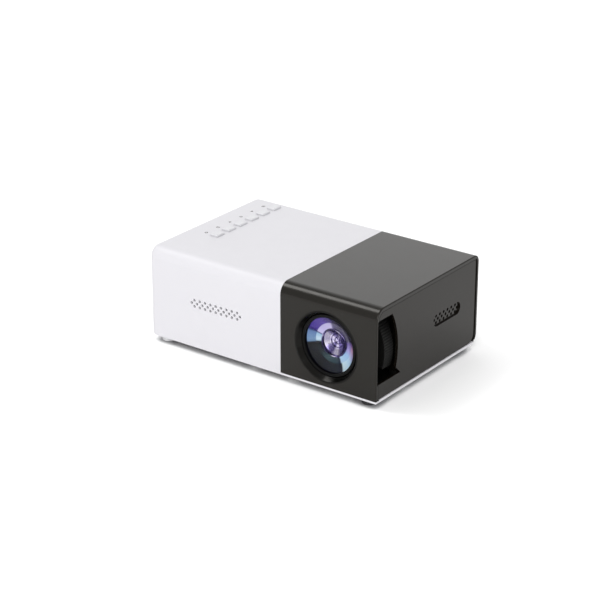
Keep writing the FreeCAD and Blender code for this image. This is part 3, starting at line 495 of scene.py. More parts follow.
@dataclass(frozen=True)
class PaintedReflectionDish(Finish):
    """Coated glass as a coloured mirror, with painted reflections: its tint, which changes round the lens
    axis and from rim to middle, is painted reflection of the studio lights.

    The stops give the painted tint at angles about the axis, in degrees from +X towards +Z.
    """

    middle: Point
    switch_radius: float
    inner: Stops
    outer: Stops
    roughness: float = 0.32
    switch_width: float = 0.25 * MM

    def dress(self, bench: NodeBench) -> None:
        """Fill the node tree."""
        across, up, radius = bench.polar(self.middle)
        turn = bench.math("MULTIPLY_ADD", bench.math("ARCTAN2", up, across), 1 / math.tau)
        turn.node.inputs[THIRD].default_value = 0.5
        step = bench.add("ShaderNodeMapRange", interpolation_type="SMOOTHSTEP")
        near, far = self.switch_radius - self.switch_width, self.switch_radius + self.switch_width
        bench.enter(step, From_Min=near, From_Max=far)
        bench.join(radius, step.inputs["Value"])
        mix = bench.add("ShaderNodeMix", data_type="RGBA")
        bench.join(step.outputs["Result"], mix.inputs[MIX_AMOUNT])
        for socket, stops in ((MIX_FIRST, self.inner), (MIX_LAST, self.outer)):
            placed = tuple((degrees / 360 + 0.5, colour) for degrees, colour in stops)
            bench.join(bench.ramp(turn, placed), mix.inputs[socket])
        # Painted reflections: the tint by angle and radius stands in for lights reflected in the lens.
        bench.paint(mix.outputs[MIX_COLOUR])
        bench.set(Metallic=1.0, Roughness=self.roughness, Coat_Weight=0.4, Coat_Roughness=0.05)


@dataclass(frozen=True)
class StudioFloor(Finish):
    """Seamless white paper with a painted contact shadow: a little darker where something stands close over
    it.
    """

    colour: Colour = (0.98, 0.98, 0.98)
    contact: Colour = srgb(138, 138, 140)
    shelter_reach: float = 5.0 * MM

    def dress(self, bench: NodeBench) -> None:
        """Fill the node tree."""
        shelter = bench.add("ShaderNodeAmbientOcclusion", samples=8)
        bench.enter(shelter, Distance=self.shelter_reach)
        near = bench.spread(shelter.outputs["AO"], 0.0, 1.0)
        # Painted contact shadow: the floor turns grey where ambient occlusion finds the projector close
        # above.
        bench.paint(bench.blend(near, self.contact, self.colour))
        bench.set(Roughness=0.9, Specular_IOR_Level=0.0)


WARM = (1.0, 0.975, 0.93)
SHELL = srgb(194, 193, 197)


@dataclass(frozen=True)
class Palette:
    """Every finish of the projector."""

    white: Finish = Moulded("white_shell", SHELL, 0.42, 0.04, tint=0.015, index=1.4)
    base: Finish = BaseWithPaintedShade("white_base", SHELL, 0.42, 0.04, tint=0.015, index=1.4)
    key: Finish = Moulded("key_shell", srgb(193, 193, 196), 0.36, 0.04, tint=0.01, index=1.42)
    dark: Finish = Moulded("dark_shell", srgb(15, 13, 9), 0.2, 0.03, tint=0.1, grain=1800.0,
                           grain_height=0.006 * MM, index=1.35, sheen_tint=WARM)
    gloss: Finish = Moulded("dark_gloss", srgb(16, 13, 9), 0.14, 0.03, tint=0.1, grain=700.0,
                            grain_height=0.004 * MM, index=1.32, sheen_tint=WARM)
    bezel: Finish = Moulded("bezel_black", srgb(5, 5, 4), 0.2, 0.04, tint=0.1, index=1.24, sheen_tint=WARM)
    well: Finish = Moulded("barrel_black", srgb(6, 6, 6), 0.4, 0.06, tint=0.1, index=1.2)
    mark: Finish = Moulded("mark_ink", srgb(70, 68, 64), 0.6, 0.05)
    pale_rubber: Finish = RubberSkin("pale_foot_rubber", srgb(196, 196, 198))
    inside: Finish = Moulded("inner_black", srgb(22, 22, 21), 0.55, 0.08, tint=0.15)
    rubber: Finish = RubberSkin("foot_rubber")
    steel: Finish = Metal("plain_steel", srgb(168, 168, 170), 0.32)
    dark_steel: Finish = Metal("blackened_steel", srgb(52, 52, 54), 0.38)
    aluminium: Finish = Metal("drawn_aluminium", srgb(196, 197, 200), 0.34)
    brass: Finish = Metal("turned_brass", srgb(190, 156, 88), 0.3)
    gold: Finish = Metal("contact_gold", srgb(214, 172, 92), 0.22)
    mirror: Finish = Metal("front_silvering", srgb(236, 237, 238), 0.04)
    glass: Finish = ClearGlass("lens_glass")
    bloomed: Finish = FrontCoating("bloomed_glass")
    board: Finish = SolderMask("board_lacquer")
    paper: Finish = PaperCone("cone_paper")
    wire: Finish = Moulded("wire_jacket", srgb(150, 30, 26), 0.45, 0.05)
    panel: Finish = Moulded("display_face", srgb(34, 38, 46), 0.12, 0.03)


PALETTE = Palette()


# ---------------------------------------------------------------------------------------------- meshes

def turned_basis(axis: Axis) -> Matrix:
    """A rotation that takes +Z to an axis of the frame."""
    return Vector((0, 0, 1)).rotation_difference(axis.value).to_matrix().to_4x4()


class Piece:
    """One mesh piece in the making: bmesh parts added together, then dressed and put on its body."""

    def __init__(self, name: str) -> None:
        """Start an empty piece.

        Args:
            name: The piece's name.
        """
        self.name = name
        self.mesh = bmesh.new()

    def turned(
        self, profile: Profile, centre: Point, axis: Axis, segments: int = 96, closed: bool = False
    ) -> "Piece":
        """Add a turned shape.

        Args:
            profile: Radius and distance along the axis of each point. A radius of 0 closes the end.
            centre: The point that distances are measured from.
            axis: The axis it turns about.
            segments: Facets round the axis.
            closed: Whether the last point joins the first, as in a ring.

        Returns:
            This piece.
        """
        place = Matrix.Translation(centre) @ turned_basis(axis)
        rings = []
        for radius, along in profile:
            if radius == 0:
                rings.append([self.mesh.verts.new(place @ Vector((0, 0, along)))])
                continue
            angles = (math.tau * step / segments for step in range(segments))
            points = (Vector((radius * math.cos(a), radius * math.sin(a), along)) for a in angles)
            rings.append([self.mesh.verts.new(place @ point) for point in points])
        pairs = list(zip(rings, rings[1:]))
        if closed:
            pairs.append((rings[-1], rings[0]))
        for first, last in pairs:
            for step in range(segments):
                after = (step + 1) % segments
                corners = [first[step % len(first)], first[after % len(first)],
                           last[after % len(last)], last[step % len(last)]]
                unique = list(dict.fromkeys(corners))
                self.mesh.faces.new(unique)
        return self

    def block(self, low: Point, high: Point, bevel: float = 0.0, turn: Matrix | None = None) -> "Piece":
        """Add a block with softened edges.

        Args:
            low: Its lowest corner.
            high: Its highest corner.
            bevel: The width of the softened edges.
            turn: A last transform.

        Returns:
            This piece.
        """
        low, high = Vector(low), Vector(high)
        size = Matrix.Diagonal((*(high - low), 1.0))
        made = bmesh.ops.create_cube(self.mesh, size=1.0, matrix=Matrix.Translation((low + high) / 2) @ size)
        if bevel:
            edges = list({edge for vert in made["verts"] for edge in vert.link_edges})
            made = bmesh.ops.bevel(
                self.mesh, geom=edges, offset=bevel, segments=2, profile=0.5, affect="EDGES"
            )
        if turn is not None:
            bmesh.ops.transform(self.mesh, matrix=turn, verts=made["verts"])
        return self

    def finish(
        self, finish: Finish, body: str, slot: str, replaces: Iterable[str] = ()
    ) -> bpy.types.Object:
        """Make the object, dress it and put it on its body.

        Args:
            finish: Its finish.
            body: The frame's body that it rides on.
            slot: The record's material slot; not used.
            replaces: The CAD nodes that it stands for.

        Returns:
            The finished object.
        """
        bmesh.ops.recalc_face_normals(self.mesh, faces=self.mesh.faces)
        data = bpy.data.meshes.new(self.name)
        self.mesh.to_mesh(data)
        self.mesh.free()
        data.materials.append(finish.material())
        piece = bpy.data.objects.new(self.name, data)
        bpy.context.scene.collection.objects.link(piece)
        smooth(piece)
        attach(piece, body)
        if replaces:
            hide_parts(*replaces)
        log.info("piece %s on %s", self.name, body)
        return piece


def smooth(piece: bpy.types.Object, angle: float = 35.0) -> None:
    """Shade a piece smooth, with its corners kept by a split at an angle in degrees.

    Args:
        piece: The object to shade.
        angle: Edges sharper than this stay sharp.
    """
    for polygon in piece.data.polygons:
        polygon.use_smooth = True
    split = piece.modifiers.new("sharp_corners", "EDGE_SPLIT")
    split.split_angle = math.radians(angle)


def arc(
    middle: tuple[float, float], radius: float, start: float, stop: float, steps: int
) -> list[tuple[float, float]]:
    """Points of an arc in a profile.

    Args:
        middle: The arc's centre.
        radius: Its radius.
        start: Its first angle, in degrees.
        stop: Its last angle, in degrees.
        steps: The number of steps along it.

    Returns:
        The points, both ends included.
    """
    angles = [math.radians(start + (stop - start) * step / steps) for step in range(steps + 1)]
    return [(middle[0] + radius * math.cos(a), middle[1] + radius * math.sin(a)) for a in angles]


# -------------------------------------------------------------------------------------- sub-assemblies

@dataclass
class Dresser:
    """Gives every carried-over CAD node its finish and smooth shading."""

    finishes: dict[str, Finish] = field(default_factory=dict)
    rim_width: float = 1.1 * MM
    sharp: float = 30.0

    def plan(self) -> None:
        """Choose a finish for each node by what it is made of. The rest take the inner black."""
        groups = {
            PALETTE.white: ("white_cover",),
            PALETTE.base: ("base_shell",),
            PALETTE.dark: ("dark_cover",),
            PALETTE.gloss: ("end_panel",),
            PALETTE.bezel: ("lens_bezel",),
            PALETTE.well: ("lens_barrel", "lens_retainer"),
            PALETTE.steel: (
                "guide_pins", "mount_screws", "engine_screws", "fan_screws", "board_screws",
                "key_board_screws", "hdmi_socket", "usb_socket", "speaker_magnet",
            ),
            PALETTE.dark_steel: ("ring_clip",),
            PALETTE.aluminium: ("heat_sink", "reflector", "main_chip"),
            PALETTE.brass: ("tripod_insert",),
            PALETTE.board: ("main_board", "key_board", "led_module", "board_parts"),
            PALETTE.paper: ("speaker_cone",),
            PALETTE.wire: ("led_wires", "lcd_ribbon"),
            PALETTE.glass: (
                "heat_glass", "collimator_lens", "field_lens", "front_lens", "middle_lens", "rear_lens",
            ),
            PALETTE.panel: ("lcd_panel",),
            PALETTE.mirror: ("fold_mirror",),
        }
        for finish, nodes in groups.items():
            for node in nodes:
                self.finishes[node] = finish
        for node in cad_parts:
            if node.endswith("_key"):
                self.finishes[node] = PALETTE.key
        low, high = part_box("focus_ring")
        face = (high.z - low.z) / 2 - self.rim_width
        self.finishes["focus_ring"] = DialFinish("focus_dial", tuple((low + high) / 2), face)

    def dress(self) -> None:
        """Assign the finishes and shade each node."""
        for node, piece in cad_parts.items():
            finish = self.finishes.get(node, PALETTE.inside)
            piece.data.materials.clear()
            piece.data.materials.append(finish.material())
            smooth(piece, self.sharp)
            log.info("node %s in %s", node, finish.name)


@dataclass
class Feet:
    """Four turned rubber feet with a ribbed sole."""

    radius: float = 3.4 * MM
    tread: float = 0.35 * MM
    rings: int = 3
    first: float = 0.12
    pitch: float = 0.26
    groove: float = 0.15
    sole: float = 0.86
    edge: float = 0.4 * MM
    taper: float = 0.15 * MM

    def build(self) -> None:
        """Model the feet where the frame has them."""
        low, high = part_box("rubber_feet")
        rise = high.z - low.z
        profile = [(0.0, self.tread)]
        for ring in range(self.rings):
            inner = (self.first + self.pitch * ring) * self.radius
            outer = inner + self.groove * self.radius
            profile += [(inner, self.tread), (inner, 0.0), (outer, 0.0), (outer, self.tread)]
        profile += [(self.sole * self.radius, self.tread), (self.sole * self.radius, 0.0)]
        profile += arc((self.radius - self.edge, self.edge), self.edge, -90, 0, 4)
        profile += [(self.radius - self.taper, rise), (0.0, rise)]
        # The left feet are pale rubber and the right feet black; the right pair's black is painted shade for
        # the shade at the front right corner.
        sides = (
            ("left", low.x + self.radius, PALETTE.pale_rubber),
            ("right", high.x - self.radius, PALETTE.rubber),
        )
        for side, x, finish in sides:
            for end, y in (("front", low.y + self.radius), ("back", high.y - self.radius)):
                foot = Piece(f"foot_{end}_{side}").turned(profile, (x, y, low.z), Axis.Z, 48)
                foot.finish(finish, Body.CASE.value, "rubber", ["rubber_feet"])


@dataclass
class LensGlass:
    """The front meniscus, the coated dish behind it, and the small inner lens with its rings; the dish, the
    small lens and the rings carry painted reflections and glints.
    """

    glass_radius: float = 13.0 * MM
    rim_depth: float = 0.75 * MM
    bulge: float = 0.9 * MM
    thickness: float = 0.7 * MM
    dish_mouth: float = 1.7 * MM
    dish_floor: float = 4.1 * MM
    inner_radius: float = 6.3 * MM
    pupil_radius: float = 1.5 * MM
    bowl_sag: float = 2.0 * MM
    steps: int = 14
    switch_radius: float = 9.3 * MM
    lip_half: float = 0.3 * MM
    lip_round: float = 0.25 * MM
    lip_foot: tuple[float, float] = (0.35 * MM, 0.2 * MM)
    bowl_drop: float = 0.9 * MM
    bowl_switch: float = 0.62
    bowl_shade: float = 0.62
    pupil_lift: float = 0.55 * MM
    second_lift: float = 0.95 * MM
    wire: float = 0.16 * MM

    def __post_init__(self) -> None:
        """Find the lens axis and the barrel's nose in the frame."""
        low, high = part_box("lens_barrel")
        self.nose = Vector(((low.x + high.x) / 2, low.y, (low.z + high.z) / 2))

    def dome(self, radius: float, sag: float, depth: float, steps: int = 12) -> list[tuple[float, float]]:
        """A spherical cap's profile, from its rim to its middle.

        Args:
            radius: The rim's radius.
            sag: How far the middle stands forward of the rim.
            depth: The rim's depth behind the nose.
            steps: The number of steps along it.

        Returns:
            Radius and depth of each point.
        """
        curve = (radius * radius + sag * sag) / (2 * sag)
        points = []
        for step in range(steps + 1):
            reach = radius * (1 - step / steps)
            points.append((reach, depth - sag + curve - math.sqrt(curve * curve - reach * reach)))
        return points

    def painted_reflection_stops(self) -> tuple[Stops, Stops]:
        """The dish's painted reflections by angle: its inner part and its outer part."""
        shade = (16, 19, 17)
        inner = tints(
            (-180, 190, 212, 226), (-175, 170, 198, 216), (-171, *shade), (-140, 28, 38, 38),
            (-110, 52, 74, 78), (-75, 46, 66, 74), (-66, 14, 22, 44), (-61, 168, 200, 228),
            (-30, 150, 186, 226), (-12, 160, 150, 210), (8, 118, 100, 170), (20, 74, 70, 92),
            (70, 78, 74, 98), (96, 104, 98, 134), (103, 196, 188, 226), (135, 186, 178, 222),
            (156, 196, 190, 228), (159, 46, 34, 104), (163, 150, 186, 214), (180, 190, 212, 226),
        )
        outer = tints(
            (-180, 108, 140, 176), (-173, 100, 128, 160), (-170, *shade), (-120, 20, 23, 21),
            (-72, 24, 32, 36), (-62, 10, 18, 34), (-58, 206, 230, 240), (-35, 172, 208, 236),
            (-18, 186, 176, 222), (-4, 214, 168, 204), (10, 142, 104, 176), (18, 58, 54, 74),
            (60, 48, 46, 56), (92, 60, 54, 86), (98, 84, 70, 140), (120, 92, 72, 162),
            (150, 72, 54, 144), (158, 36, 28, 92), (163, 96, 124, 172), (180, 108, 140, 176),
        )
        return inner, outer

    def painted_glint_stops(self) -> Stops:
        """The small rings' painted reflections by angle: violet black, with pale painted glints."""
        deep, pale = (30, 24, 58), (226, 220, 244)
        return tints(
            (-180, 84, 74, 128), (-150, *deep), (-108, *deep), (-96, *pale), (-84, *pale),
            (-70, 96, 84, 146), (-30, 70, 60, 112), (0, *deep), (30, 54, 46, 90), (56, 150, 140, 186),
            (66, *pale), (84, 120, 108, 162), (118, *deep), (148, 120, 108, 170), (158, *pale),
            (170, 120, 112, 170), (180, 84, 74, 128),
        )

    def painted_bowl_reflections(self, share: float = 1.0) -> Stops:
        """The small lens's painted reflections by angle.

        Args:
            share: How bright they are against the middle's.

        Returns:
            Angles and colours.
        """
        stops = tints(
            (-180, 196, 188, 226), (-158, 236, 230, 248), (-146, 150, 140, 194), (-112, 92, 80, 146),
            (-98, 214, 206, 238), (-82, 226, 220, 244), (-66, 108, 96, 158), (-20, 120, 106, 176),
            (20, 90, 78, 138), (52, 116, 104, 162), (70, 188, 180, 216), (92, 112, 100, 158),
            (130, 150, 138, 196), (150, 224, 216, 242), (180, 196, 188, 226),
        )
        return tuple((angle, scaled(colour, share)) for angle, colour in stops)

    def build(self) -> None:
        """Model the glass and what shows through it, and let it ride with the barrel."""
        radius = self.glass_radius
        front = self.dome(radius, self.bulge, self.rim_depth)
        back = self.dome(radius, self.bulge, self.rim_depth + self.thickness)
        self.show("front_glass", list(reversed(front)) + back, PALETTE.bloomed, ["front_lens"])

        depth = self.dish_floor - self.dish_mouth
        dish = []
        for step in range(self.steps + 1):
            share = step / self.steps
            reach = radius + (self.inner_radius - radius) * share
            dish.append((reach, self.dish_mouth + depth * math.sin(share * math.pi / 2)))
        # The dish carries painted reflections of the lights.
        coat = PaintedReflectionDish("dish_painted_reflections", tuple(self.nose), self.switch_radius, *self.painted_reflection_stops())
        self.show("painted_reflection_dish", dish, coat, ["aperture_stop"])
        self.small_lens()

    def small_lens(self) -> None:
        """Model the small lens on the dish's floor, with its lip and the two rings in it."""
        centre = tuple(self.nose)
        glints = self.painted_glint_stops()
        lip, floor = self.inner_radius, self.dish_floor
        small, rim = lip - self.lip_half, floor + self.bowl_drop
        out, down = self.lip_foot
        ring = [(lip + out, floor + down), (lip + self.lip_half, floor - self.lip_round)]
        ring += arc((lip, floor - self.lip_half), self.lip_round, 0, -180, 6)
        ring += [(small, rim)]
        # The lens lip carries painted glints and reflections.
        sheen = PaintedReflectionDish("ring_painted_glints", centre, lip, glints, glints, 0.2)
        self.show("inner_lens_ring", ring, sheen, slot="black_plastic")

        cap = self.dome(small, self.bowl_sag, rim, self.steps)
        bowl = [(reach, 2 * rim - depth) for reach, depth in cap]
        # The small lens carries painted reflections, dimmer in its outer part.
        pale, dim = self.painted_bowl_reflections(), self.painted_bowl_reflections(self.bowl_shade)
        bowl_reflections = PaintedReflectionDish("bowl_painted_reflections", centre, small * self.bowl_switch, pale, dim, 0.24)
        self.show("inner_lens", bowl, bowl_reflections, segments=72)
        hoops = (
            ("pupil_ring", self.pupil_radius, self.pupil_lift),
            ("second_ring", 2.0 * self.pupil_radius, self.second_lift),
        )
        for name, radius, lift in hoops:
            hoop = arc((radius, rim + self.bowl_sag - lift), self.wire, 0, 315, 7)
            # Each ring carries the same painted glints.
            coat = PaintedReflectionDish(name + "_coating", centre, radius, glints, glints, 0.15)
            self.show(name, hoop, coat, segments=48, closed=True)

    def show(
        self, name: str, profile: Profile, finish: Finish, replaces: Iterable[str] = (),
        slot: str = "lens_glass", segments: int = 96, closed: bool = False,
    ) -> None:
        """Turn a piece about the lens axis and let it ride with the barrel.

        Args:
            name: The piece's name.
            profile: Radius and depth behind the nose of each point.
            finish: What it is made of.
            replaces: The CAD nodes it stands for.
            slot: Its material slot.
            segments: The number of sides.
            closed: Whether the profile joins up with itself.
        """
        piece = Piece(name).turned(profile, tuple(self.nose), Axis.Y, segments, closed)
        piece.finish(finish, Body.BARREL.value, slot, replaces)


@dataclass
class KeyMarks:
    """The small printed marks beside the keys: plain signs, no letters."""

    size: float = 1.5 * MM
    line: float = 0.3 * MM
    rise: float = 0.03 * MM
    aside: float = 3.1 * MM
    ahead: float = 0.9 * MM
    origin: Vector = field(default_factory=Vector)

    def build(self) -> None:
        """Print one mark for each key on the roof."""
        signs = {
            "power": self.power, "source": self.source, "left": self.left,
            "ok": self.ring, "right": self.right, "menu": self.menu,
        }
        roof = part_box("white_cover")[1].z
        for key, draw in signs.items():
            low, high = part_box(f"{key}_key")
            self.origin = Vector((low.x - self.aside, (low.y + high.y) / 2 - self.ahead, roof))
            mark = Piece(f"{key}_mark")
            draw(mark)
            mark.finish(PALETTE.mark, Body.CASE.value, "white_plastic")

    def bar(self, mark: Piece, x: float, y: float, wide: float, long: float) -> None:
        """Print a bar about a point, given in shares of the mark's half size."""
        half = self.size / 2
        middle = self.origin + Vector((x * half, y * half, 0))
        reach = Vector((wide * half, long * half, 0))
        mark.block(middle - reach, middle + reach + Vector((0, 0, self.rise)))

    def ring(self, mark: Piece) -> None:
        """Print a ring."""
        outer = self.size / 2
        inner = outer - self.line
        band = [(outer, 0.0), (inner, 0.0), (inner, self.rise), (outer, self.rise)]
        mark.turned(band, tuple(self.origin), Axis.Z, 32, closed=True)

    def power(self, mark: Piece) -> None:
        """Print a ring with a bar at its top."""
        self.ring(mark)
        self.bar(mark, 0.0, 0.9, 0.2, 0.45)

    def source(self, mark: Piece) -> None:
        """Print a frame."""
        for side in (-1, 1):
            self.bar(mark, side * 0.85, 0.0, 0.18, 0.8)
            self.bar(mark, 0.0, side * 0.7, 1.0, 0.18)

    def left(self, mark: Piece) -> None:
        """Print an arrowhead that points to -X."""
        self.arrow(mark, -1)

    def right(self, mark: Piece) -> None:
        """Print an arrowhead that points to +X."""
        self.arrow(mark, 1)

    def arrow(self, mark: Piece, way: int) -> None:
        """Print an arrowhead of three stepped bars."""
        for place, long in ((-0.6, 0.95), (-0.15, 0.62), (0.3, 0.3)):
            self.bar(mark, way * place, 0.0, 0.24, long)

    def menu(self, mark: Piece) -> None:
        """Print three bars."""
        for place in (-0.8, 0.0, 0.8):
            self.bar(mark, 0.0, place, 1.0, 0.2)


@dataclass
class FanWheel:
    """The fan's wheel: a hub with swept blades that twist from root to tip."""

    blades: int = 7
    hub_radius: float = 6.4 * MM
    tip_radius: float = 13.3 * MM
    root_pitch: float = 48.0
    tip_pitch: float = 30.0
    sweep: float = 22.0
    chord: float = 6.6 * MM
    steps: int = 8
    bore: float = 1.3 * MM
    rounding: float = 0.5 * MM
    sink: float = 0.3 * MM
    half_thick: float = 0.3 * MM

    def build(self) -> None:
        """Model the wheel where the frame has its rotor."""
        low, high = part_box("fan_rotor")
        frame_low, frame_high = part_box("fan_frame")
        middle = (frame_low + frame_high) / 2
        centre = Vector((middle.x, (low.y + high.y) / 2, middle.z))
        half = (high.y - low.y) / 2
        flat = self.hub_radius - self.rounding
        hub = [(self.bore, -half), (flat, -half)]
        hub += arc((flat, self.rounding - half), self.rounding, -90, 0, 4)
        hub += [(self.hub_radius, half), (self.bore, half)]
        wheel = Piece("fan_wheel").turned(hub, tuple(centre), Axis.Y, 48, closed=True)
        for count in range(self.blades):
            self.blade(wheel, centre, math.tau * count / self.blades, half)
        wheel.finish(PALETTE.inside, Body.FAN.value, "black_plastic", ["fan_rotor"])

    def blade(self, wheel: Piece, centre: Vector, start: float, half: float) -> None:
        """Add one blade.

        Args:
            wheel: The piece that takes it.
            centre: The wheel's middle.
            start: The blade's angle at its root.
            half: Half of the wheel's depth.
        """
        rows = []
        root, thick = self.hub_radius - self.sink, self.half_thick
        for step in range(self.steps + 1):
            share = step / self.steps
            reach = root + (self.tip_radius - root) * share
            pitch = math.radians(self.root_pitch + (self.tip_pitch - self.root_pitch) * share)
            turn = start + math.radians(self.sweep) * share * share
            row = []
            for side, lift in ((-0.5, -thick), (0.5, -thick), (0.5, thick), (-0.5, thick)):
                run = side * self.chord * math.cos(pitch) - lift * math.sin(pitch)
                rise = side * self.chord * math.sin(pitch) + lift * math.cos(pitch)
                rise = max(-half, min(half, rise))
                angle = turn + run / reach
                corner = Vector((reach * math.cos(angle), rise, reach * math.sin(angle)))
                row.append(wheel.mesh.verts.new(centre + corner))
            rows.append(row)
        for first, last in zip(rows, rows[1:]):
            for side in range(4):
                after = (side + 1) % 4
                wheel.mesh.faces.new((first[side], first[after], last[after], last[side]))
        wheel.mesh.faces.new(rows[0])
        wheel.mesh.faces.new(rows[-1])


@dataclass
class Screws:
    """Cross-head screws under the casing."""

    head_radius: float = 2.2 * MM
    shank_radius: float = 1.1 * MM
    head_depth: float = 1.8 * MM
    rounding: float = 0.5 * MM
    recess: Profile = ((1.25 * MM, 0.0), (1.25 * MM, 0.06 * MM), (0.9 * MM, 0.55 * MM), (0.0, 0.7 * MM))
    arm: float = 0.32 * MM
    arm_reach: float = 1.2 * MM
    arm_low: float = 0.1 * MM
    arm_high: float = 0.6 * MM
    arm_bevel: float = 0.05 * MM
    face_depth: float = 0.5 * MM
    spacing: float = 6 * MM

    def build(self) -> None:
        """Model one screw in each hole of the tray."""
        low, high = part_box("case_screws")
        head = self.head_depth
        profile = [(self.shank_radius, high.z - low.z), (self.shank_radius, head), (self.head_radius, head)]
        profile += arc((self.head_radius - self.rounding, self.rounding), self.rounding, 0, -90, 5)
        profile += self.recess
        first = (-self.arm_reach, -self.arm / 2, low.z + self.arm_low)
        last = (self.arm_reach, self.arm / 2, low.z + self.arm_high)
        for number, (x, y) in enumerate(self.places(low, high), 1):
            screw = Piece(f"case_screw_{number}")
            screw.turned([(0.0, high.z - low.z)] + profile, (x, y, low.z), Axis.Z, 40)
            for turn in (0.0, 90.0):
                arm = Matrix.Translation((x, y, 0)) @ Matrix.Rotation(math.radians(turn + 45), 4, "Z")
                screw.block(first, last, self.arm_bevel, arm)
            screw.finish(PALETTE.steel, Body.CASE.value, "steel", ["case_screws"])

    def places(self, low: Vector, high: Vector) -> list[tuple[float, float]]:
        """The screws' places, found from the loose parts of the frame's own screws.

        Args:
            low: The lowest corner of the set.
            high: The highest corner of the set.

        Returns:
            Each screw's place across and along.
        """
        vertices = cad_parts["case_screws"].data.vertices
        points = [vert.co for vert in vertices if vert.co.z < low.z + self.face_depth]
        found: list[list[Vector]] = []
        for point in points:
            near = next((group for group in found if (group[0].xy - point.xy).length < self.spacing), None)
            if near is None:
                found.append([point])
            else:
                near.append(point)
        middles = []
        for group in found:
            xs, ys = [p.x for p in group], [p.y for p in group]
            middles.append(((min(xs) + max(xs)) / 2, (min(ys) + max(ys)) / 2))
        return middles


@dataclass
class SocketContacts:
    """Sprung contacts on the tongues inside the two flat sockets."""

    reach: float = 6.5 * MM
    height: float = 0.12 * MM
    mouth: float = 1.3 * MM
    above: float = 0.5 * MM
    half_share: float = 0.28
    bevel: float = 0.03 * MM

    def build(self) -> None:
        """Model a row of contacts in each socket."""
        for node, count, pitch in (("hdmi_socket", 10, 1.0 * MM), ("usb_socket", 4, 2.2 * MM)):
            low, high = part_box(node)
            along = (low.y + high.y) / 2
            up = (low.z + high.z) / 2 + self.above
            start = low.x + self.mouth
            width = self.half_share * pitch
            row = Piece(node + "_contacts")
            for step in range(count):
                y = along + (step - (count - 1) / 2) * pitch
                last = (start + self.reach, y + width, up + self.height)
                row.block((start, y - width, up), last, self.bevel)
            row.finish(PALETTE.gold, Body.CASE.value, "brass")


@dataclass
class GrilleGauze:
    """A woven wire gauze behind the side grille, in front of the speaker."""

    pitch: float = 0.8 * MM
    wire: float = 0.13 * MM
    gap: float = 0.05 * MM
    half_along: float = 8.4 * MM
    half_up: float = 4.0 * MM

    def build(self) -> None:
        """Model the wires across the speaker's mouth."""
        low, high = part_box("speaker_frame")
        x = high.x + self.gap
        middle = (low + high) / 2
        gauze = Piece("grille_gauze")
        sets = ((self.half_up, self.half_along, Axis.Y), (self.half_along, self.half_up, Axis.Z))
        for level, (reach, cross, axis) in enumerate(sets):
            count = int(reach / self.pitch)
            for step in range(-count, count + 1):
                offset = step * self.pitch
                if axis is Axis.Y:
                    start = (x - self.wire * 2 * level, middle.y - cross, middle.z + offset)
                else:
                    start = (x - self.wire * 2 * level, middle.y + offset, middle.z - cross)
                profile = [(0.0, 0.0), (self.wire / 2, 0.0), (self.wire / 2, 2 * cross), (0.0, 2 * cross)]
                gauze.turned(profile, start, axis, 6)
        gauze.finish(PALETTE.dark_steel, Body.CASE.value, "steel")


# ---------------------------------------------------------------------------------------------- studio

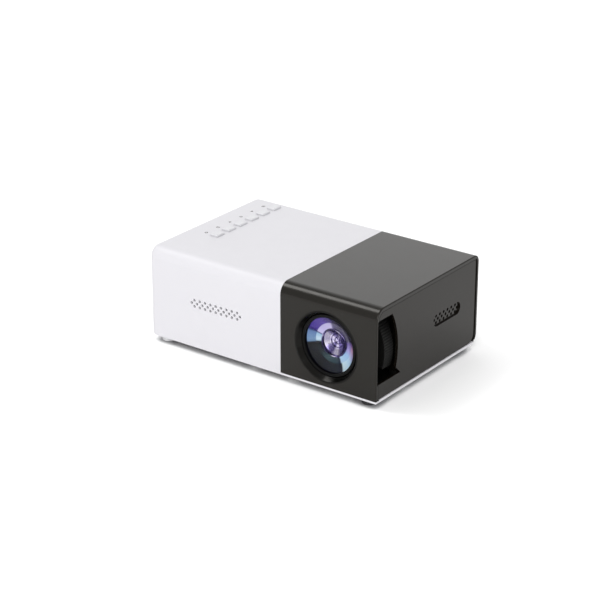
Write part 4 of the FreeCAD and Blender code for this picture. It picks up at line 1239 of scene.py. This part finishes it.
@dataclass
class Studio:
    """The floor, the lights and the camera."""

    azimuth: float = 36.55
    elevation: float = 23.09
    distance: float = 0.893
    lens: float = 117.7
    shift_right: float = -5.89 * MM
    shift_up: float = -4.83 * MM
    look_up: float = 27.0 * MM
    floor_size: float = 8.0
    surround: float = 0.88
    glow: float = 1.5
    glow_way: Point = (-0.55, 0.74, 0.3)
    glow_inner: float = 14.0
    glow_outer: float = 38.0
    sensor: float = 36.0
    near: float = 0.05

    def build(self) -> None:
        """Make everything that stands round the projector."""
        scene = bpy.context.scene
        scene.view_settings.view_transform = "Standard"
        self.world(scene)
        self.floor()
        self.lamps()
        self.camera(scene)

    def world(self, scene: bpy.types.Scene) -> None:
        """Light the scene from a pale surround that is brighter low down behind the projector."""
        world = bpy.data.worlds.new("white_surround")
        world.use_nodes = True
        tree = world.node_tree
        back = tree.nodes["Background"]
        back.inputs["Color"].default_value = (1.0, 1.0, 1.0, 1.0)
        toward = tree.nodes.new("ShaderNodeVectorMath")
        toward.operation = "DOT_PRODUCT"
        toward.inputs[1].default_value = Vector(self.glow_way).normalized()
        tree.links.new(tree.nodes.new("ShaderNodeTexCoord").outputs["Generated"], toward.inputs[0])
        fall = tree.nodes.new("ShaderNodeMapRange")
        fall.interpolation_type = "SMOOTHSTEP"
        fall.inputs["From Min"].default_value = math.cos(math.radians(self.glow_outer))
        fall.inputs["From Max"].default_value = math.cos(math.radians(self.glow_inner))
        fall.inputs["To Min"].default_value = self.surround
        fall.inputs["To Max"].default_value = self.glow
        tree.links.new(toward.outputs["Value"], fall.inputs["Value"])
        tree.links.new(fall.outputs["Result"], back.inputs["Strength"])
        scene.world = world

    def floor(self) -> None:
        """Lay a seamless white floor."""
        data = bpy.data.meshes.new("studio_floor")
        half = self.floor_size / 2
        corners = [(-half, -half, 0), (half, -half, 0), (half, half, 0), (-half, half, 0)]
        data.from_pydata(corners, [], [(0, 1, 2, 3)])
        data.materials.append(StudioFloor("floor_paper").material())
        floor = bpy.data.objects.new("studio_floor", data)
        bpy.context.scene.collection.objects.link(floor)

    def lamps(self) -> None:
        """Hang the soft boxes."""
        boxes = (
            ("by_camera", (0.82, -1.11, 0.62), (0.0, 0.0, 0.02), 1.0, 14.0),
            ("front_left", (-0.66, -0.24, 0.98), (0.0, 0.0, 0.02), 0.45, 4.2),
        )
        for name, place, aim, size, power in boxes:
            data = bpy.data.lights.new(name, "AREA")
            data.shape = "SQUARE"
            data.size = size
            data.energy = power
            lamp = bpy.data.objects.new(name, data)
            lamp.location = place
            lamp.rotation_euler = (Vector(aim) - Vector(place)).to_track_quat("-Z", "Y").to_euler()
            bpy.context.scene.collection.objects.link(lamp)

    def camera(self, scene: bpy.types.Scene) -> None:
        """Set the camera at the front right, a little above."""
        a, e = math.radians(self.azimuth), math.radians(self.elevation)
        back = Vector((math.sin(a) * math.cos(e), -math.cos(a) * math.cos(e), math.sin(e)))
        right = Vector((math.cos(a), math.sin(a), 0))
        up = back.cross(right)
        data = bpy.data.cameras.new("camera")
        data.sensor_width = self.sensor
        data.lens = self.lens
        data.clip_start = self.near
        camera = bpy.data.objects.new("camera", data)
        target = Vector((0, 0, self.look_up))
        camera.location = target + back * self.distance + right * self.shift_right + up * self.shift_up
        camera.rotation_mode = "QUATERNION"
        camera.rotation_quaternion = Matrix((right, up, back)).transposed().to_quaternion()
        scene.collection.objects.link(camera)
        scene.camera = camera


def main() -> None:
    """Build the whole visual model, sub-assembly by sub-assembly."""
    logging.basicConfig(level=logging.INFO, format="%(name)s: %(message)s")
    Studio().build()
    dresser = Dresser()
    dresser.plan()
    dresser.dress()
    for part in (Feet(), LensGlass(), KeyMarks(), FanWheel(), Screws(), SocketContacts(), GrilleGauze()):
        part.build()


if __name__ == "__main__":
    main()
